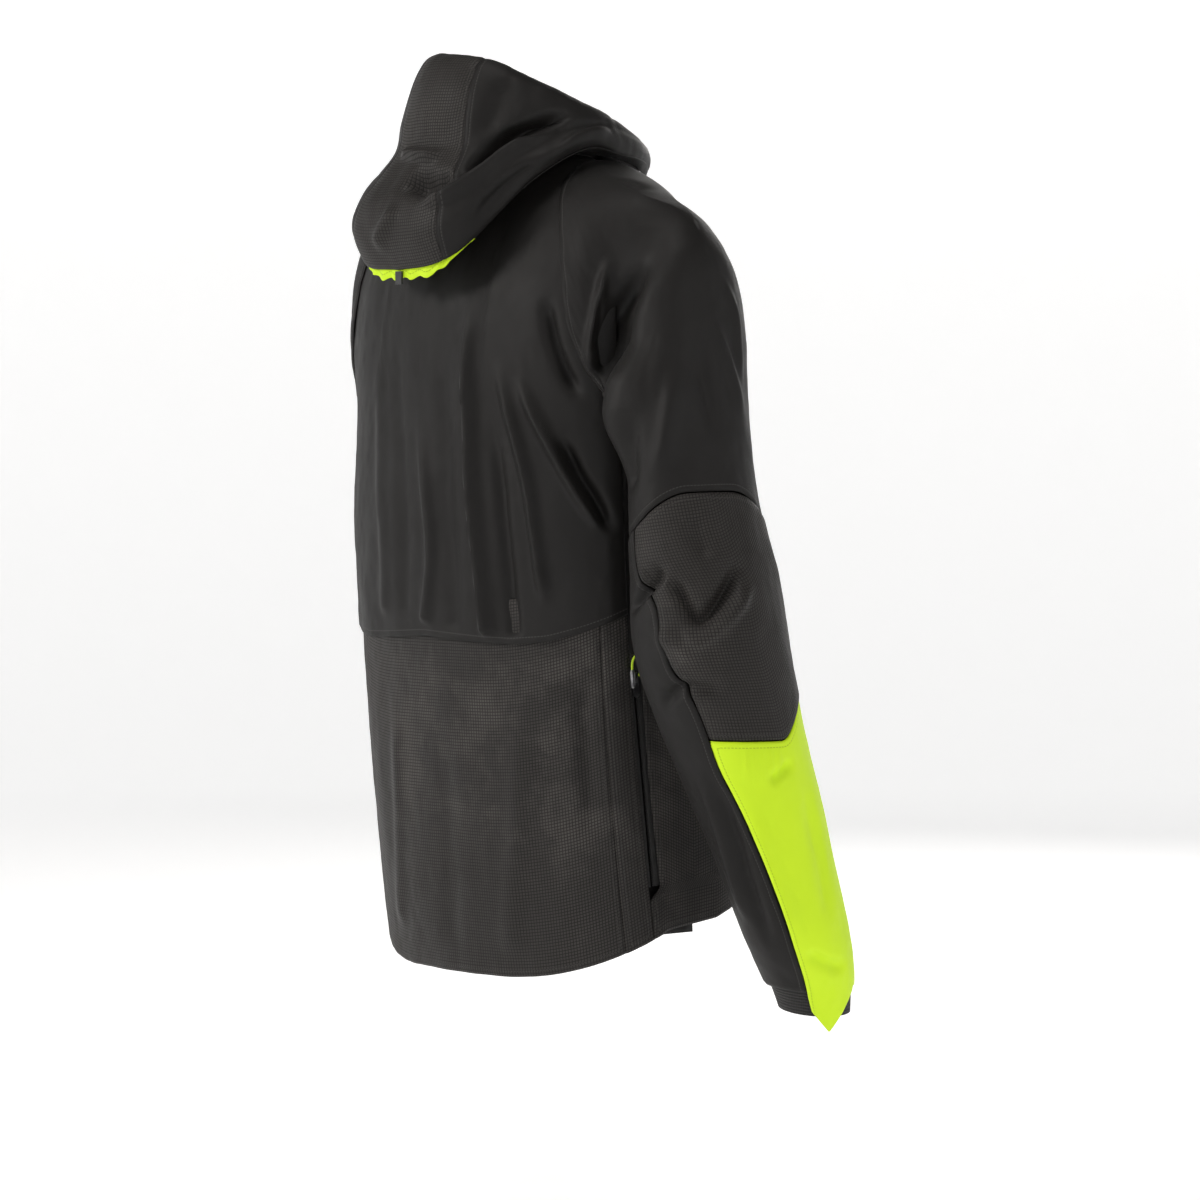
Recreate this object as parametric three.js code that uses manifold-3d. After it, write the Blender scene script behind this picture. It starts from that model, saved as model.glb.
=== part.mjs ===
// Hooded shell jacket for cycling, worn shape without a wearer. Millimetres, +Z up, front towards -Y, wearer's
// left towards +X. The origin is where a hook takes the hanger loop, inside the collar at the nape.
import * as THREE from 'three';
import { mergeVertices } from 'three/addons/utils/BufferGeometryUtils.js';
import Module from 'manifold-3d';

const wasm = await Module();
wasm.setup();

// ---- Driving dimensions ----
const CHEST_HALF_WIDTH = 188;
const HEM_HALF_WIDTH = 186;
const BACK_DEPTH = 142;
const BACK_DEPTH_HEM = 136;
const FRONT_DEPTH = 112;
const SIDE_FLAT = 50;
const SIDE_FLAT_HEM = 25;
const CHEST_CENTRE_Y = -65;
const HEM_CENTRE_Y = -90;
const ARMPIT_Z = -220;
const HEM_BACK_Z = -741;
const HEM_FRONT_Z = -676;
const HEM_FLAT_COLUMN = 20;
const HEM_RISE_COLUMNS = 110;
const SHOULDER_NECK_Z = 17;
const SHOULDER_SLOPE = 0.39;
const SHOULDER_SLOPE_START = 55;
const SHOULDER_SHIFT_Y = 25;
const SHOULDER_EXPONENT = 2.3;
const NECK_CENTRE_Y = -66;
const NECK_HALF_WIDTH = 76;
const NECK_HALF_DEPTH = 78;
const COLLAR_TOP_HALF_WIDTH = 71;
const COLLAR_TOP_HALF_DEPTH = 73;
const COLLAR_BACK_Z = 42;
const COLLAR_OPENING = 13;
const HOOD_CENTRE_Y = -70;
const HOOD_LEAN = 14;
const HOOD_LEAN_END = 0.55;
const HOOD_CENTRE_HALF_ANGLE = 19;
const HOOD_END_ANGLE = 163;
const FACING_HALF_ANGLE = 40;
const FACING_DROP = 8;
const FACING_INSET = 6;
const CAPE_HEM_Z = -440;
const VENT_HINGE_Z = -330;
const CAPE_STAND_OFF = 4.8;
const FABRIC = 2.2;
const SEAM_GAP = 1.2;
const RIDGE_GAP = 0.015;
const COLLAR_BASE_GAP = 3;
const ZIP_TOP_Z = 20;
const ZIP_TOP_Y = -154;
const ZIP_SLOPE = 0.0955;
const ZIP_TAPE_OUTER = 13.5;
const ZIP_TAPE_INNER = 1.6;
const SLIDER_START = 6;
const FRONT_EDGE_COLUMN = 185;
const POCKET_SEAM_COLUMN = 68;
const POCKET_WELT_COLUMN = 81.8;
const POCKET_FRONT_COLUMN = 89.6;
const SIDE_PANEL_COLUMN = 128;
const UNDERARM_BACK_COLUMN = 82;
const UNDERARM_FRONT_COLUMN = 108;
const POCKET_TOP_Z = -455;
const POCKET_BOTTOM_Z = -655;
const POCKET_RECESS = 7;
const FRONT_ZIP_BOTTOM_Z = -670;
const STORM_FLAP_WIDTH = 34;
const COLLAR_LENGTH = 62;
const TAPE_HALF = 0.5;
const SLIDER_LENGTH = 12;
const SLIDER_HALF_WIDTH = 4.2;
const SLIDER_FRONT = [0.9, 2.7];
const SLIDER_REAR = [-2.3, -0.9];
const BAIL_HOLE = 3.6;
const BAIL_BAR = 1.2;
const PULL_ROD = 1.1;
const LOOP_RADIUS = 1.5;
const STOP_SIZE = [7, 2.2, 5];
const STOP_OUT = 1.8;
const STOP_LIFT = 4;
const CORD_RADIUS = 1;
const CORD_ANGLE = 102;
const LOCK_RING_RADIUS = 74.1;
const LOCK_Z = 37;
const LOCK_RADIUS = 3.7;
const LOCK_BORE = 2.8;
const LOCK_TRAVEL = 1.3;

// Columns run round the body: 0 is the centre back, BACK_END the back edge of the flat side, FRONT_START its
// front edge, and 190 the centre front.
const BACK_END = 90;
const FRONT_START = 100;
const DEGREE = Math.PI / 180;

const COLOURS = {
  shell: { color: 0x262422, roughness: 0.78, metalness: 0 },
  grid: { color: 0x32302e, roughness: 0.62, metalness: 0 },
  neon: { color: 0xcde619, roughness: 0.7, metalness: 0 },
  elastic: { color: 0x1c1b1a, roughness: 0.85, metalness: 0 },
  plastic: { color: 0x151515, roughness: 0.4, metalness: 0 },
  metal: { color: 0x6d6f72, roughness: 0.35, metalness: 0.9 },
};

const jacket = new THREE.Group();

// ---- Small maths helpers ----
const mix = (a, b, t) => a + (b - a) * t;
const clamp01 = (t) => Math.min(1, Math.max(0, t));
const smooth = (t) => clamp01(t) ** 2 * (3 - 2 * clamp01(t));

// Catmull-Rom value of a list of equal-length rows at position t, one unit per row.
function alongRows(rows, t) {
  const last = rows.length - 1;
  const i = Math.min(last - 1, Math.max(0, Math.floor(t)));
  const f = t - i;
  const before = rows[Math.max(0, i - 1)];
  const after = rows[Math.min(last, i + 2)];
  return rows[i].map((b, k) => {
    const [a, c, d] = [before[k], rows[i + 1][k], after[k]];
    return b + 0.5 * f * (c - a + f * (2 * a - 5 * b + 4 * c - d + f * (3 * (b - c) + d - a)));
  });
}

function addMesh(name, geometry, finish) {
  const mesh = new THREE.Mesh(geometry, new THREE.MeshStandardMaterial(COLOURS[finish]));
  mesh.name = name;
  jacket.add(mesh);
  return mesh;
}

// ---- Thin closed shells from a surface(u, v) with u and v in 0..1 ----
function surfaceNormal(surface, u, v) {
  const step = 1e-3;
  const [u0, u1] = [Math.max(0, u - step), Math.min(1, u + step)];
  const [v0, v1] = [Math.max(0, v - step), Math.min(1, v + step)];
  const du = surface(u1, v).clone().sub(surface(u0, v));
  const dv = surface(u, v1).clone().sub(surface(u, v0));
  return du.cross(dv).normalize();
}

// The outer face is the surface and the inner face lies one thickness behind it. A round shell joins u = 1 to
// u = 0. The surface's normal, du x dv, points outwards.
function thinShell(name, finish, surface, { across, along, round = false, thickness = FABRIC }) {
  const columns = round ? across : across + 1;
  const rows = along + 1;
  const positions = [];
  for (const depth of [0, thickness]) {
    for (let j = 0; j < rows; j++) {
      for (let i = 0; i < columns; i++) {
        const [u, v] = [i / across, j / along];
        const point = surface(u, v).clone();
        point.addScaledVector(surfaceNormal(surface, u, v), -depth);
        positions.push(point.x, point.y, point.z);
      }
    }
  }
  const index = [];
  const quad = (a, b, c, d) => index.push(a, b, c, a, c, d);
  const at = (layer, i, j) => layer * rows * columns + j * columns + (i % columns);
  for (let j = 0; j < along; j++) {
    for (let i = 0; i < across; i++) {
      quad(at(0, i, j), at(0, i + 1, j), at(0, i + 1, j + 1), at(0, i, j + 1));
      quad(at(1, i, j), at(1, i, j + 1), at(1, i + 1, j + 1), at(1, i + 1, j));
    }
  }
  for (let i = 0; i < across; i++) {
    quad(at(0, i + 1, 0), at(0, i, 0), at(1, i, 0), at(1, i + 1, 0));
    quad(at(0, i, along), at(0, i + 1, along), at(1, i + 1, along), at(1, i, along));
  }
  if (!round) {
    for (let j = 0; j < along; j++) {
      quad(at(0, 0, j), at(0, 0, j + 1), at(1, 0, j + 1), at(1, 0, j));
      quad(at(0, across, j + 1), at(0, across, j), at(1, across, j), at(1, across, j + 1));
    }
  }
  const geometry = new THREE.BufferGeometry();
  geometry.setAttribute('position', new THREE.Float32BufferAttribute(positions, 3));
  geometry.setIndex(index);
  geometry.computeVertexNormals();
  return addMesh(name, geometry, finish);
}

// ---- Torso surface ----
const shoulderZ = (x) => SHOULDER_NECK_Z - SHOULDER_SLOPE * Math.max(0, Math.abs(x) - SHOULDER_SLOPE_START);
const shoulderY = (x) => CHEST_CENTRE_Y + SHOULDER_SHIFT_Y * (x / CHEST_HALF_WIDTH) ** 2;
const zipY = (z) => ZIP_TOP_Y - ZIP_SLOPE * (ZIP_TOP_Z - z);

// Position of a column on the ring of the body at a height: x, distance behind the body's centre line.
function ringAt(column, z) {
  const t = clamp01((ARMPIT_Z - z) / (ARMPIT_Z - HEM_BACK_Z)) ** 2;
  const halfWidth = mix(CHEST_HALF_WIDTH, HEM_HALF_WIDTH, t);
  const flat = mix(SIDE_FLAT, SIDE_FLAT_HEM, t);
  const centre = mix(CHEST_CENTRE_Y, HEM_CENTRE_Y, t);
  const a = Math.abs(column);
  const side = Math.sign(column);
  if (a <= BACK_END) {
    const depth = mix(BACK_DEPTH, BACK_DEPTH_HEM, t);
    return { x: side * halfWidth * Math.sin(a * DEGREE), y: flat + (depth - flat) * Math.cos(a * DEGREE), centre };
  }
  if (a <= FRONT_START) {
    return { x: side * halfWidth, y: mix(flat, -flat, (a - BACK_END) / (FRONT_START - BACK_END)), centre };
  }
  const turn = (a - FRONT_START) * DEGREE;
  const depth = centre - zipY(Math.min(z, ARMPIT_Z));
  return { x: side * halfWidth * Math.cos(turn), y: -flat - (depth - flat) * Math.sin(turn), centre };
}

// Below the armpit a point is set by its column and height.
function lowerTorso(column, z) {
  const ring = ringAt(column, z);
  return new THREE.Vector3(ring.x, ring.centre + ring.y, z);
}

// Above the armpit a column is a slice of constant x that arches over the shoulder; rise is 0 at the armpit and
// 1 on the shoulder ridge. The slice stays straight at the zip.
function upperTorso(column, rise) {
  const ring = ringAt(column, ARMPIT_Z);
  const angle = clamp01(rise) * 90 * DEGREE;
  const up = Math.sin(angle) ** (2 / SHOULDER_EXPONENT);
  const out = Math.max(0, Math.cos(angle)) ** (2 / SHOULDER_EXPONENT);
  const z = ARMPIT_Z + (shoulderZ(ring.x) - ARMPIT_Z) * up;
  const centre = mix(CHEST_CENTRE_Y, shoulderY(ring.x), up);
  const y = centre + ring.y * out;
  const pull = ring.y < 0 ? Math.exp(-((ring.x / 60) ** 2)) * smooth(out * 3 - 1) : 0;
  return new THREE.Vector3(ring.x, mix(y, zipY(z), pull), z);
}

// Rise at which a column meets the neck opening, or 1 where it reaches the shoulder ridge first.
function neckRise(column) {
  const ring = ringAt(column, ARMPIT_Z);
  const room = 1 - (ring.x / NECK_HALF_WIDTH) ** 2;
  if (room <= 0) {
    return 1;
  }
  const edge = NECK_CENTRE_Y + Math.sign(ring.y) * NECK_HALF_DEPTH * Math.sqrt(room);
  const out = clamp01(Math.abs(edge - CHEST_CENTRE_Y) / Math.abs(ring.y));
  return Math.acos(out ** (SHOULDER_EXPONENT / 2)) / (90 * DEGREE);
}

const pushedOut = (point, amount) => {
  const away = new THREE.Vector3(point.x, point.y - CHEST_CENTRE_Y, 0).normalize();
  return point.clone().addScaledVector(away, amount);
};

const hemZ = (column) => mix(HEM_BACK_Z, HEM_FRONT_Z,
  smooth((Math.abs(column) - HEM_FLAT_COLUMN) / HEM_RISE_COLUMNS));

// A panel of the lower torso between two columns and two height functions. The back's columns run from the
// wearer's left to the right, so that the outside faces out.
function lowerPanel(name, finish, fromColumn, toColumn, bottom, top, size) {
  thinShell(name, finish, (u, v) => {
    const column = mix(fromColumn, toColumn, u);
    return pushedOut(lowerTorso(column, mix(bottom(column), top(column), v)), size.standOff ?? 0);
  }, size);
}

const constant = (value) => () => value;
const mirrored = [['left', 1], ['right', -1]];

// Turns a side's pair of columns so that u always runs anticlockwise seen from above, towards the back of -X.
const ordered = (side, from, to) => (side > 0 ? [to, from] : [-from, -to]);

function makeBack() {
  lowerPanel('back_lower_panel', 'grid', POCKET_SEAM_COLUMN, -POCKET_SEAM_COLUMN, hemZ,
    constant(CAPE_HEM_Z + 40), { across: 12, along: 6 });
  thinShell('back_cape', 'shell', (u, v) => {
    const column = mix(UNDERARM_BACK_COLUMN, -UNDERARM_BACK_COLUMN, u);
    const point = v < 0.4
      ? lowerTorso(column, mix(VENT_HINGE_Z + SEAM_GAP, ARMPIT_Z, v / 0.4))
      : upperTorso(column, ((v - 0.4) / 0.6) * (neckRise(column) - RIDGE_GAP));
    return pushedOut(point, CAPE_STAND_OFF * smooth(1 - v / 0.4));
  }, { across: 16, along: 10 });
  lowerPanel('back_vent_flap', 'shell', UNDERARM_BACK_COLUMN, -UNDERARM_BACK_COLUMN, constant(CAPE_HEM_Z),
    constant(VENT_HINGE_Z - SEAM_GAP), { across: 16, along: 2, standOff: CAPE_STAND_OFF });
}

function makeSidesAndFront() {
  for (const [name, side] of mirrored) {
    const [weltFrom, weltTo] = ordered(side, POCKET_SEAM_COLUMN + 0.6, POCKET_WELT_COLUMN);
    lowerPanel(`pocket_welt_${name}`, 'grid', weltFrom, weltTo, hemZ, constant(CAPE_HEM_Z - 4),
      { across: 2, along: 6 });
    const [sideFrom, sideTo] = ordered(side, POCKET_FRONT_COLUMN, SIDE_PANEL_COLUMN);
    lowerPanel(`side_panel_${name}`, 'grid', sideFrom, sideTo, hemZ, constant(CAPE_HEM_Z - 4),
      { across: 6, along: 6 });
    const [underFrom, underTo] = ordered(side, UNDERARM_BACK_COLUMN + 0.8, UNDERARM_FRONT_COLUMN - 0.8);
    lowerPanel(`underarm_panel_${name}`, 'shell', underFrom, underTo, constant(CAPE_HEM_Z - 4 + SEAM_GAP),
      constant(ARMPIT_Z + 2), { across: 4, along: 3 });
    const [lowFrom, lowTo] = ordered(side, SIDE_PANEL_COLUMN + 0.6, FRONT_EDGE_COLUMN);
    lowerPanel(`front_lower_panel_${name}`, 'grid', lowFrom, lowTo, hemZ, constant(CAPE_HEM_Z - 4),
      { across: 6, along: 6 });
    const [upFrom, upTo] = ordered(side, UNDERARM_FRONT_COLUMN, FRONT_EDGE_COLUMN);
    thinShell(`front_upper_panel_${name}`, 'shell', (u, v) => {
      const column = mix(upFrom, upTo, u);
      return v < 0.4
        ? lowerTorso(column, mix(CAPE_HEM_Z - 4 + SEAM_GAP, ARMPIT_Z, v / 0.4))
        : upperTorso(column, ((v - 0.4) / 0.6) * (neckRise(column) - RIDGE_GAP));
    }, { across: 9, along: 10 });
  }
}

// ---- Collar and hood, which run round the neck by angle: 0 at the nape, 90 at the wearer's left ----
function bodyHeight(x, y) {
  const share = Math.min(1, Math.abs(x) / CHEST_HALF_WIDTH);
  const depth = y > CHEST_CENTRE_Y ? BACK_DEPTH : FRONT_DEPTH;
  const reach = SIDE_FLAT + (depth - SIDE_FLAT) * Math.sqrt(1 - share ** 2);
  const out = clamp01(Math.abs(y - CHEST_CENTRE_Y) / reach);
  const up = (1 - out ** SHOULDER_EXPONENT) ** (1 / SHOULDER_EXPONENT);
  return ARMPIT_Z + (shoulderZ(x) - ARMPIT_Z) * up;
}

function collarPoint(angle, height, inset) {
  const [s, c] = [Math.sin(angle * DEGREE), Math.cos(angle * DEGREE)];
  const baseX = NECK_HALF_WIDTH * s;
  const baseY = NECK_CENTRE_Y + NECK_HALF_DEPTH * c;
  const baseZ = bodyHeight(baseX, baseY) + COLLAR_BASE_GAP;
  const topZ = mix(ZIP_TOP_Z, COLLAR_BACK_Z, smooth((c + 1) / 1.6));
  const x = mix(baseX, COLLAR_TOP_HALF_WIDTH * s, height);
  const y = mix(baseY, NECK_CENTRE_Y + COLLAR_TOP_HALF_DEPTH * c, height);
  const z = mix(baseZ, topZ, height);
  const pull = Math.exp(-((x / 60) ** 2)) * smooth(-c / 0.6);
  const point = new THREE.Vector3(x, mix(y, zipY(z), pull), z);
  const inward = new THREE.Vector3(-point.x, NECK_CENTRE_Y - point.y, 0).normalize();
  return point.addScaledVector(inward, inset);
}

function makeCollar() {
  const end = 180 - COLLAR_OPENING;
  const around = (inset) => (u, v) => collarPoint(mix(end, -end, u), v, inset);
  thinShell('collar_outer', 'shell', around(0), { across: 24, along: 3, thickness: 1.6 });
  thinShell('collar_lining', 'neon', around(3.2), { across: 24, along: 3, thickness: 1.2 });
}

// Hood profiles from the rim over the upper lobe, the crease and the lower lobe to the bottom edge, each as
// [radius from the neck axis, height], at angles from the nape to the front. The hood lies HOOD_LEAN higher on
// the wearer's left.
const HOOD_ANGLES = [0, 22, 45, 68, 90, 130, 165];
const HOOD_PROFILES = [
  [[103, 92], [111, 100], [126, 93], [138, 70], [145, 41], [148, 13], [165, -11], [182, -37], [187, -68], [177, -99]],
  [[100, 90], [108, 98], [121, 90], [133, 68], [141, 40], [146, 13], [163, -10], [182, -34], [189, -60], [178, -87]],
  [[91, 74], [99, 83], [112, 75], [122, 56], [129, 36], [132, 20], [141, 9], [150, 0], [152, -9], [146, -20]],
  [[87, 58], [92, 68], [101, 62], [108, 50], [112, 40], [113, 32], [119, 25], [122, 20], [121, 16], [117, 11]],
  [[82, 46], [86, 53], [91, 50], [95, 43], [97, 37], [99, 32], [103, 26], [105, 19], [104, 13], [102, 8]],
  [[85, 22], [88, 28], [90, 26], [92, 22], [93, 19], [94, 16], [95, 13], [95, 9], [94, 6], [93, 3]],
  [[91, 12], [93, 17], [95, 15], [96, 12], [97, 9], [97, 6], [97, 3], [97, -1], [96, -4], [95, -7]],
];

function hoodPoint(angle, down) {
  const a = Math.abs(angle);
  let i = 0;
  while (i < HOOD_ANGLES.length - 2 && a > HOOD_ANGLES[i + 1]) {
    i += 1;
  }
  const station = i + (a - HOOD_ANGLES[i]) / (HOOD_ANGLES[i + 1] - HOOD_ANGLES[i]);
  const profile = alongRows(HOOD_PROFILES.map((rows) => rows.flat()), station);
  const pairs = HOOD_PROFILES[0].map((_, k) => [profile[2 * k], profile[2 * k + 1]]);
  const [radius, z] = alongRows(pairs, down * (pairs.length - 1));
  const [s, c] = [Math.sin(angle * DEGREE), Math.cos(angle * DEGREE)];
  const lean = HOOD_LEAN * s * (1 - smooth(down / HOOD_LEAN_END));
  return new THREE.Vector3(radius * s, HOOD_CENTRE_Y + radius * c, z + lean);
}

function makeHood() {
  const wrap = (from, to) => (u, v) => hoodPoint(mix(from, to, u), 1 - v);
  thinShell('hood_centre_panel', 'grid', wrap(HOOD_CENTRE_HALF_ANGLE, -HOOD_CENTRE_HALF_ANGLE),
    { across: 4, along: 18 });
  thinShell('hood_side_left', 'shell', wrap(HOOD_END_ANGLE, HOOD_CENTRE_HALF_ANGLE + 0.6),
    { across: 12, along: 18 });
  thinShell('hood_side_right', 'shell', wrap(-HOOD_CENTRE_HALF_ANGLE - 0.6, -HOOD_END_ANGLE),
    { across: 12, along: 18 });
  thinShell('hood_lining', 'shell', (u, v) => {
    const angle = mix(138, -138, u);
    const base = collarPoint(angle, 0.25, -3.5);
    return base.lerp(hoodPoint(angle, 0), v * 0.96);
  }, { across: 20, along: 3, thickness: 1.6 });
  thinShell('hood_lower_facing', 'neon', (u, v) => {
    const angle = mix(FACING_HALF_ANGLE, -FACING_HALF_ANGLE, u);
    const edge = hoodPoint(angle, 1);
    const inward = new THREE.Vector3(-Math.sin(angle * DEGREE), -Math.cos(angle * DEGREE), 0);
    const drop = FACING_DROP * (1 - (angle / (FACING_HALF_ANGLE + 2)) ** 2);
    return edge.addScaledVector(inward, FACING_INSET).add(new THREE.Vector3(0, 0, mix(-drop, 10, v)));
  }, { across: 14, along: 2, thickness: 1.4 });
  const tabEdge = hoodPoint(0, 1);
  const tab = new THREE.BoxGeometry(9, 2, 12);
  addMesh('hood_adjuster_tab', tab, 'plastic').position.set(0, tabEdge.y - 2, tabEdge.z - 6.5);
}

// ---- Sleeves: rings from the armhole to the cuff. Round a ring, 0 faces outwards, 90 back, 180 the body ----
// Each station is [inner x, inner z, outer x, outer z, half depth].
const SLEEVE_STATIONS = [
  [191, -216, 191, -37, 51],
  [192, -222, 222, -52, 56],
  [193, -229, 250, -86, 61],
  [194, -238, 266, -137, 62],
  [195, -250, 277, -190, 62],
  [197, -300, 296, -285, 62],
  [201, -370, 322, -360, 68],
  [205, -436, 338, -428, 71],
  [212, -505, 338, -505, 66],
  [224, -595, 334, -600, 58],
  [233, -690, 328, -698, 51],
  [238, -740, 314, -748, 42],
  [241, -780, 300, -794, 35],
];
const SLEEVE_CENTRE_Y = {
  right: [-53, -50, -46, -42, -36, -32, -32, -34, -53, -90, -126, -149, -162],
  left: [-53, -66, -84, -106, -124, -146, -162, -174, -194, -228, -262, -282, -296],
};
const ELBOW_TOP = 5.15;
const ELBOW_TOP_INSIDE = 5.6;
const FOREARM_TOP = 8.12;
const FOREARM_POINT = 11.7;
const FOREARM_POINT_ANGLE = 18;
const FOREARM_POINT_SLOPE = 0.0155;
const FOREARM_END = 10.9;
const UNDER_END = 10.9;
const CUFF_START = 10.95;
const CUFF_END = 11.4;
const CUFF_INSET = 4;
const PANEL_FRONT_ANGLE = -72;
const PANEL_GAP = 3;

function sleevePoint(name, side, angle, station, inset = 0) {
  const rows = SLEEVE_STATIONS.map((row, i) => [...row, SLEEVE_CENTRE_Y[name][i]]);
  const [innerX, innerZ, outerX, outerZ, halfDepth, centreY] = alongRows(rows, station);
  const middle = new THREE.Vector3((innerX + outerX) / 2, centreY, (innerZ + outerZ) / 2);
  const outward = new THREE.Vector3((outerX - innerX) / 2, 0, (outerZ - innerZ) / 2);
  const shrink = 1 - inset / halfDepth;
  middle.addScaledVector(outward, Math.cos(angle * DEGREE) * shrink);
  middle.y += halfDepth * Math.sin(angle * DEGREE) * shrink;
  middle.x *= side;
  return middle;
}

// Angle of the sleeve panels' back edge, and the station of the elbow panel's top edge.
const backEdge = (station) => mix(76, 50, smooth((station - ELBOW_TOP) / 5.5));
const elbowTop = (angle) => mix(ELBOW_TOP, ELBOW_TOP_INSIDE, smooth((Math.abs(angle - 20) - 20) / 90));
const forearmTop = (angle) => FOREARM_TOP - 0.42 * smooth(-angle / 50);

// The forearm panel ends in a point over the back of the hand.
const forearmEnd = (angle) => {
  const fromPoint = Math.abs(angle - FOREARM_POINT_ANGLE);
  return Math.max(FOREARM_POINT - FOREARM_POINT_SLOPE * fromPoint, FOREARM_END);
};

function makeSleeve(name, side) {
  // Seen from outside, u runs the way that keeps the normal outward on each side.
  const panel = (piece, finish, from, to, start, end, size) => {
    thinShell(`${piece}_${name}`, finish, (u, v) => {
      const across = side > 0 ? 1 - u : u;
      const guess = mix(start(0), end(0), 1 - v);
      const angle = mix(from(guess), to(guess), across);
      return sleevePoint(name, side, angle, mix(start(angle), end(angle), 1 - v), size.inset ?? 0);
    }, size);
  };
  panel('sleeve_upper', 'shell', constant(180), constant(-180), constant(0),
    (angle) => elbowTop(angle) - 0.02, { across: 16, along: 9, round: true });
  panel('sleeve_elbow_panel', 'grid', backEdge, constant(PANEL_FRONT_ANGLE), elbowTop,
    (angle) => forearmTop(angle) - 0.03, { across: 8, along: 5 });
  panel('sleeve_forearm_panel', 'neon', backEdge, constant(PANEL_FRONT_ANGLE), forearmTop,
    forearmEnd, { across: 8, along: 5 });
  panel('sleeve_under_panel', 'shell', constant(360 + PANEL_FRONT_ANGLE - PANEL_GAP),
    (station) => backEdge(station) + PANEL_GAP, elbowTop, constant(UNDER_END), { across: 7, along: 10 });
  panel('sleeve_cuff', 'elastic', constant(180), constant(-180), constant(CUFF_START), constant(CUFF_END),
    { across: 16, along: 1, round: true, inset: CUFF_INSET });
}

// ---- Zips. A zip runs straight from its top to its bottom; its frame has X across, Y out and Z up the zip ----
function zipFrame(top, bottom, outward) {
  const up = top.clone().sub(bottom).normalize();
  const across = outward.clone().cross(up).normalize();
  const out = up.clone().cross(across);
  const frame = new THREE.Group();
  frame.quaternion.setFromRotationMatrix(new THREE.Matrix4().makeBasis(across, out, up));
  frame.position.copy(top);
  jacket.add(frame);
  frame.updateMatrixWorld(true);
  return frame;
}

function addTo(frame, name, geometry, finish) {
  frame.add(addMesh(name, geometry, finish));
}

function outlineOf(points) {
  return new THREE.Shape(points.map(([x, y]) => new THREE.Vector2(x, y)));
}

function extruded(shape, depth) {
  return new THREE.ExtrudeGeometry(shape, { depth, bevelEnabled: false, curveSegments: 6 });
}

function solidOf(geometry) {
  const bare = geometry.clone();
  for (const key of ['normal', 'uv']) {
    bare.deleteAttribute(key);
  }
  const merged = mergeVertices(bare, 1e-3);
  return new wasm.Manifold(new wasm.Mesh({
    numProp: 3,
    vertProperties: new Float32Array(merged.attributes.position.array),
    triVerts: new Uint32Array(merged.index.array),
  }));
}

function geometryOf(solid) {
  const mesh = solid.getMesh();
  const geometry = new THREE.BufferGeometry();
  geometry.setAttribute('position', new THREE.BufferAttribute(new Float32Array(mesh.vertProperties), 3));
  geometry.setIndex(new THREE.BufferAttribute(new Uint32Array(mesh.triVerts), 1));
  geometry.computeVertexNormals();
  return geometry;
}

// A slider is two plates joined by a post between the tapes, with a bail on the front plate that holds the pull.
function sliderGeometry() {
  const [w, post] = [SLIDER_HALF_WIDTH, 0.9];
  const [[f0, f1], [r0, r1]] = [SLIDER_FRONT, SLIDER_REAR];
  const section = outlineOf([[-w, f1], [-w, f0], [-post, f0], [-post, r1], [-w, r1], [-w, r0], [w, r0], [w, r1],
    [post, r1], [post, f0], [w, f0], [w, f1]]);
  const plates = extruded(section, SLIDER_LENGTH);
  const reach = BAIL_HOLE / 2 + BAIL_BAR;
  const bail = outlineOf([[-reach, 0], [reach, 0], [reach, 2.4], [reach - 1, 3.4], [1 - reach, 3.4],
    [-reach, 2.4]]);
  const hole = BAIL_HOLE / 2;
  bail.holes.push(new THREE.Path([[-hole, 0.4], [-hole, 2.3], [hole, 2.3], [hole, 0.4]]
    .map(([x, y]) => new THREE.Vector2(x, y))));
  const arch = extruded(bail, 1.6);
  arch.translate(0, 0, -0.8);
  arch.rotateY(Math.PI / 2);
  arch.translate(0, SLIDER_FRONT[1] - 0.2, SLIDER_LENGTH / 2);
  return geometryOf(solidOf(plates).add(solidOf(arch)));
}

// A pull is a flat frame: its rod passes through the bail and its plate hangs below.
function pullGeometry(length, halfWidth) {
  const rod = PULL_ROD / 2;
  const frame = outlineOf([[-halfWidth, rod], [-halfWidth, -length + 2], [2 - halfWidth, -length],
    [halfWidth - 2, -length], [halfWidth, -length + 2], [halfWidth, rod]]);
  const slot = [[-1.5, -rod], [-1.5, -rod - 3.4], [1.5, -rod - 3.4], [1.5, -rod]];
  frame.holes.push(new THREE.Path(slot.map(([x, y]) => new THREE.Vector2(x, y))));
  const geometry = extruded(frame, PULL_ROD);
  geometry.translate(0, 0, -rod);
  geometry.rotateX(Math.PI / 2);
  return geometry;
}

function makeZip(prefix, top, bottom, outward, { sliderFinish, pullLength, pullHalfWidth, pullFinish }) {
  const frame = zipFrame(top, bottom, outward);
  const length = top.distanceTo(bottom);
  const tapes = [['a', -ZIP_TAPE_OUTER, -ZIP_TAPE_INNER], ['b', ZIP_TAPE_INNER, ZIP_TAPE_OUTER]];
  for (const [side, from, to] of tapes) {
    const tape = new THREE.BoxGeometry(to - from, 2 * TAPE_HALF, length);
    tape.translate((from + to) / 2, 0, -length / 2);
    addTo(frame, `${prefix}_tape_${side}`, tape, 'shell');
  }
  const slider = sliderGeometry();
  slider.translate(0, 0, -SLIDER_START - SLIDER_LENGTH);
  addTo(frame, `${prefix}_slider`, slider, sliderFinish);
  const pull = pullGeometry(pullLength, pullHalfWidth);
  const pivotOut = SLIDER_FRONT[1] - 0.2 + (0.4 + 2.3) / 2;
  pull.translate(0, pivotOut, -SLIDER_START - SLIDER_LENGTH / 2);
  addTo(frame, `${prefix}_pull`, pull, pullFinish);
  return frame;
}

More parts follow.
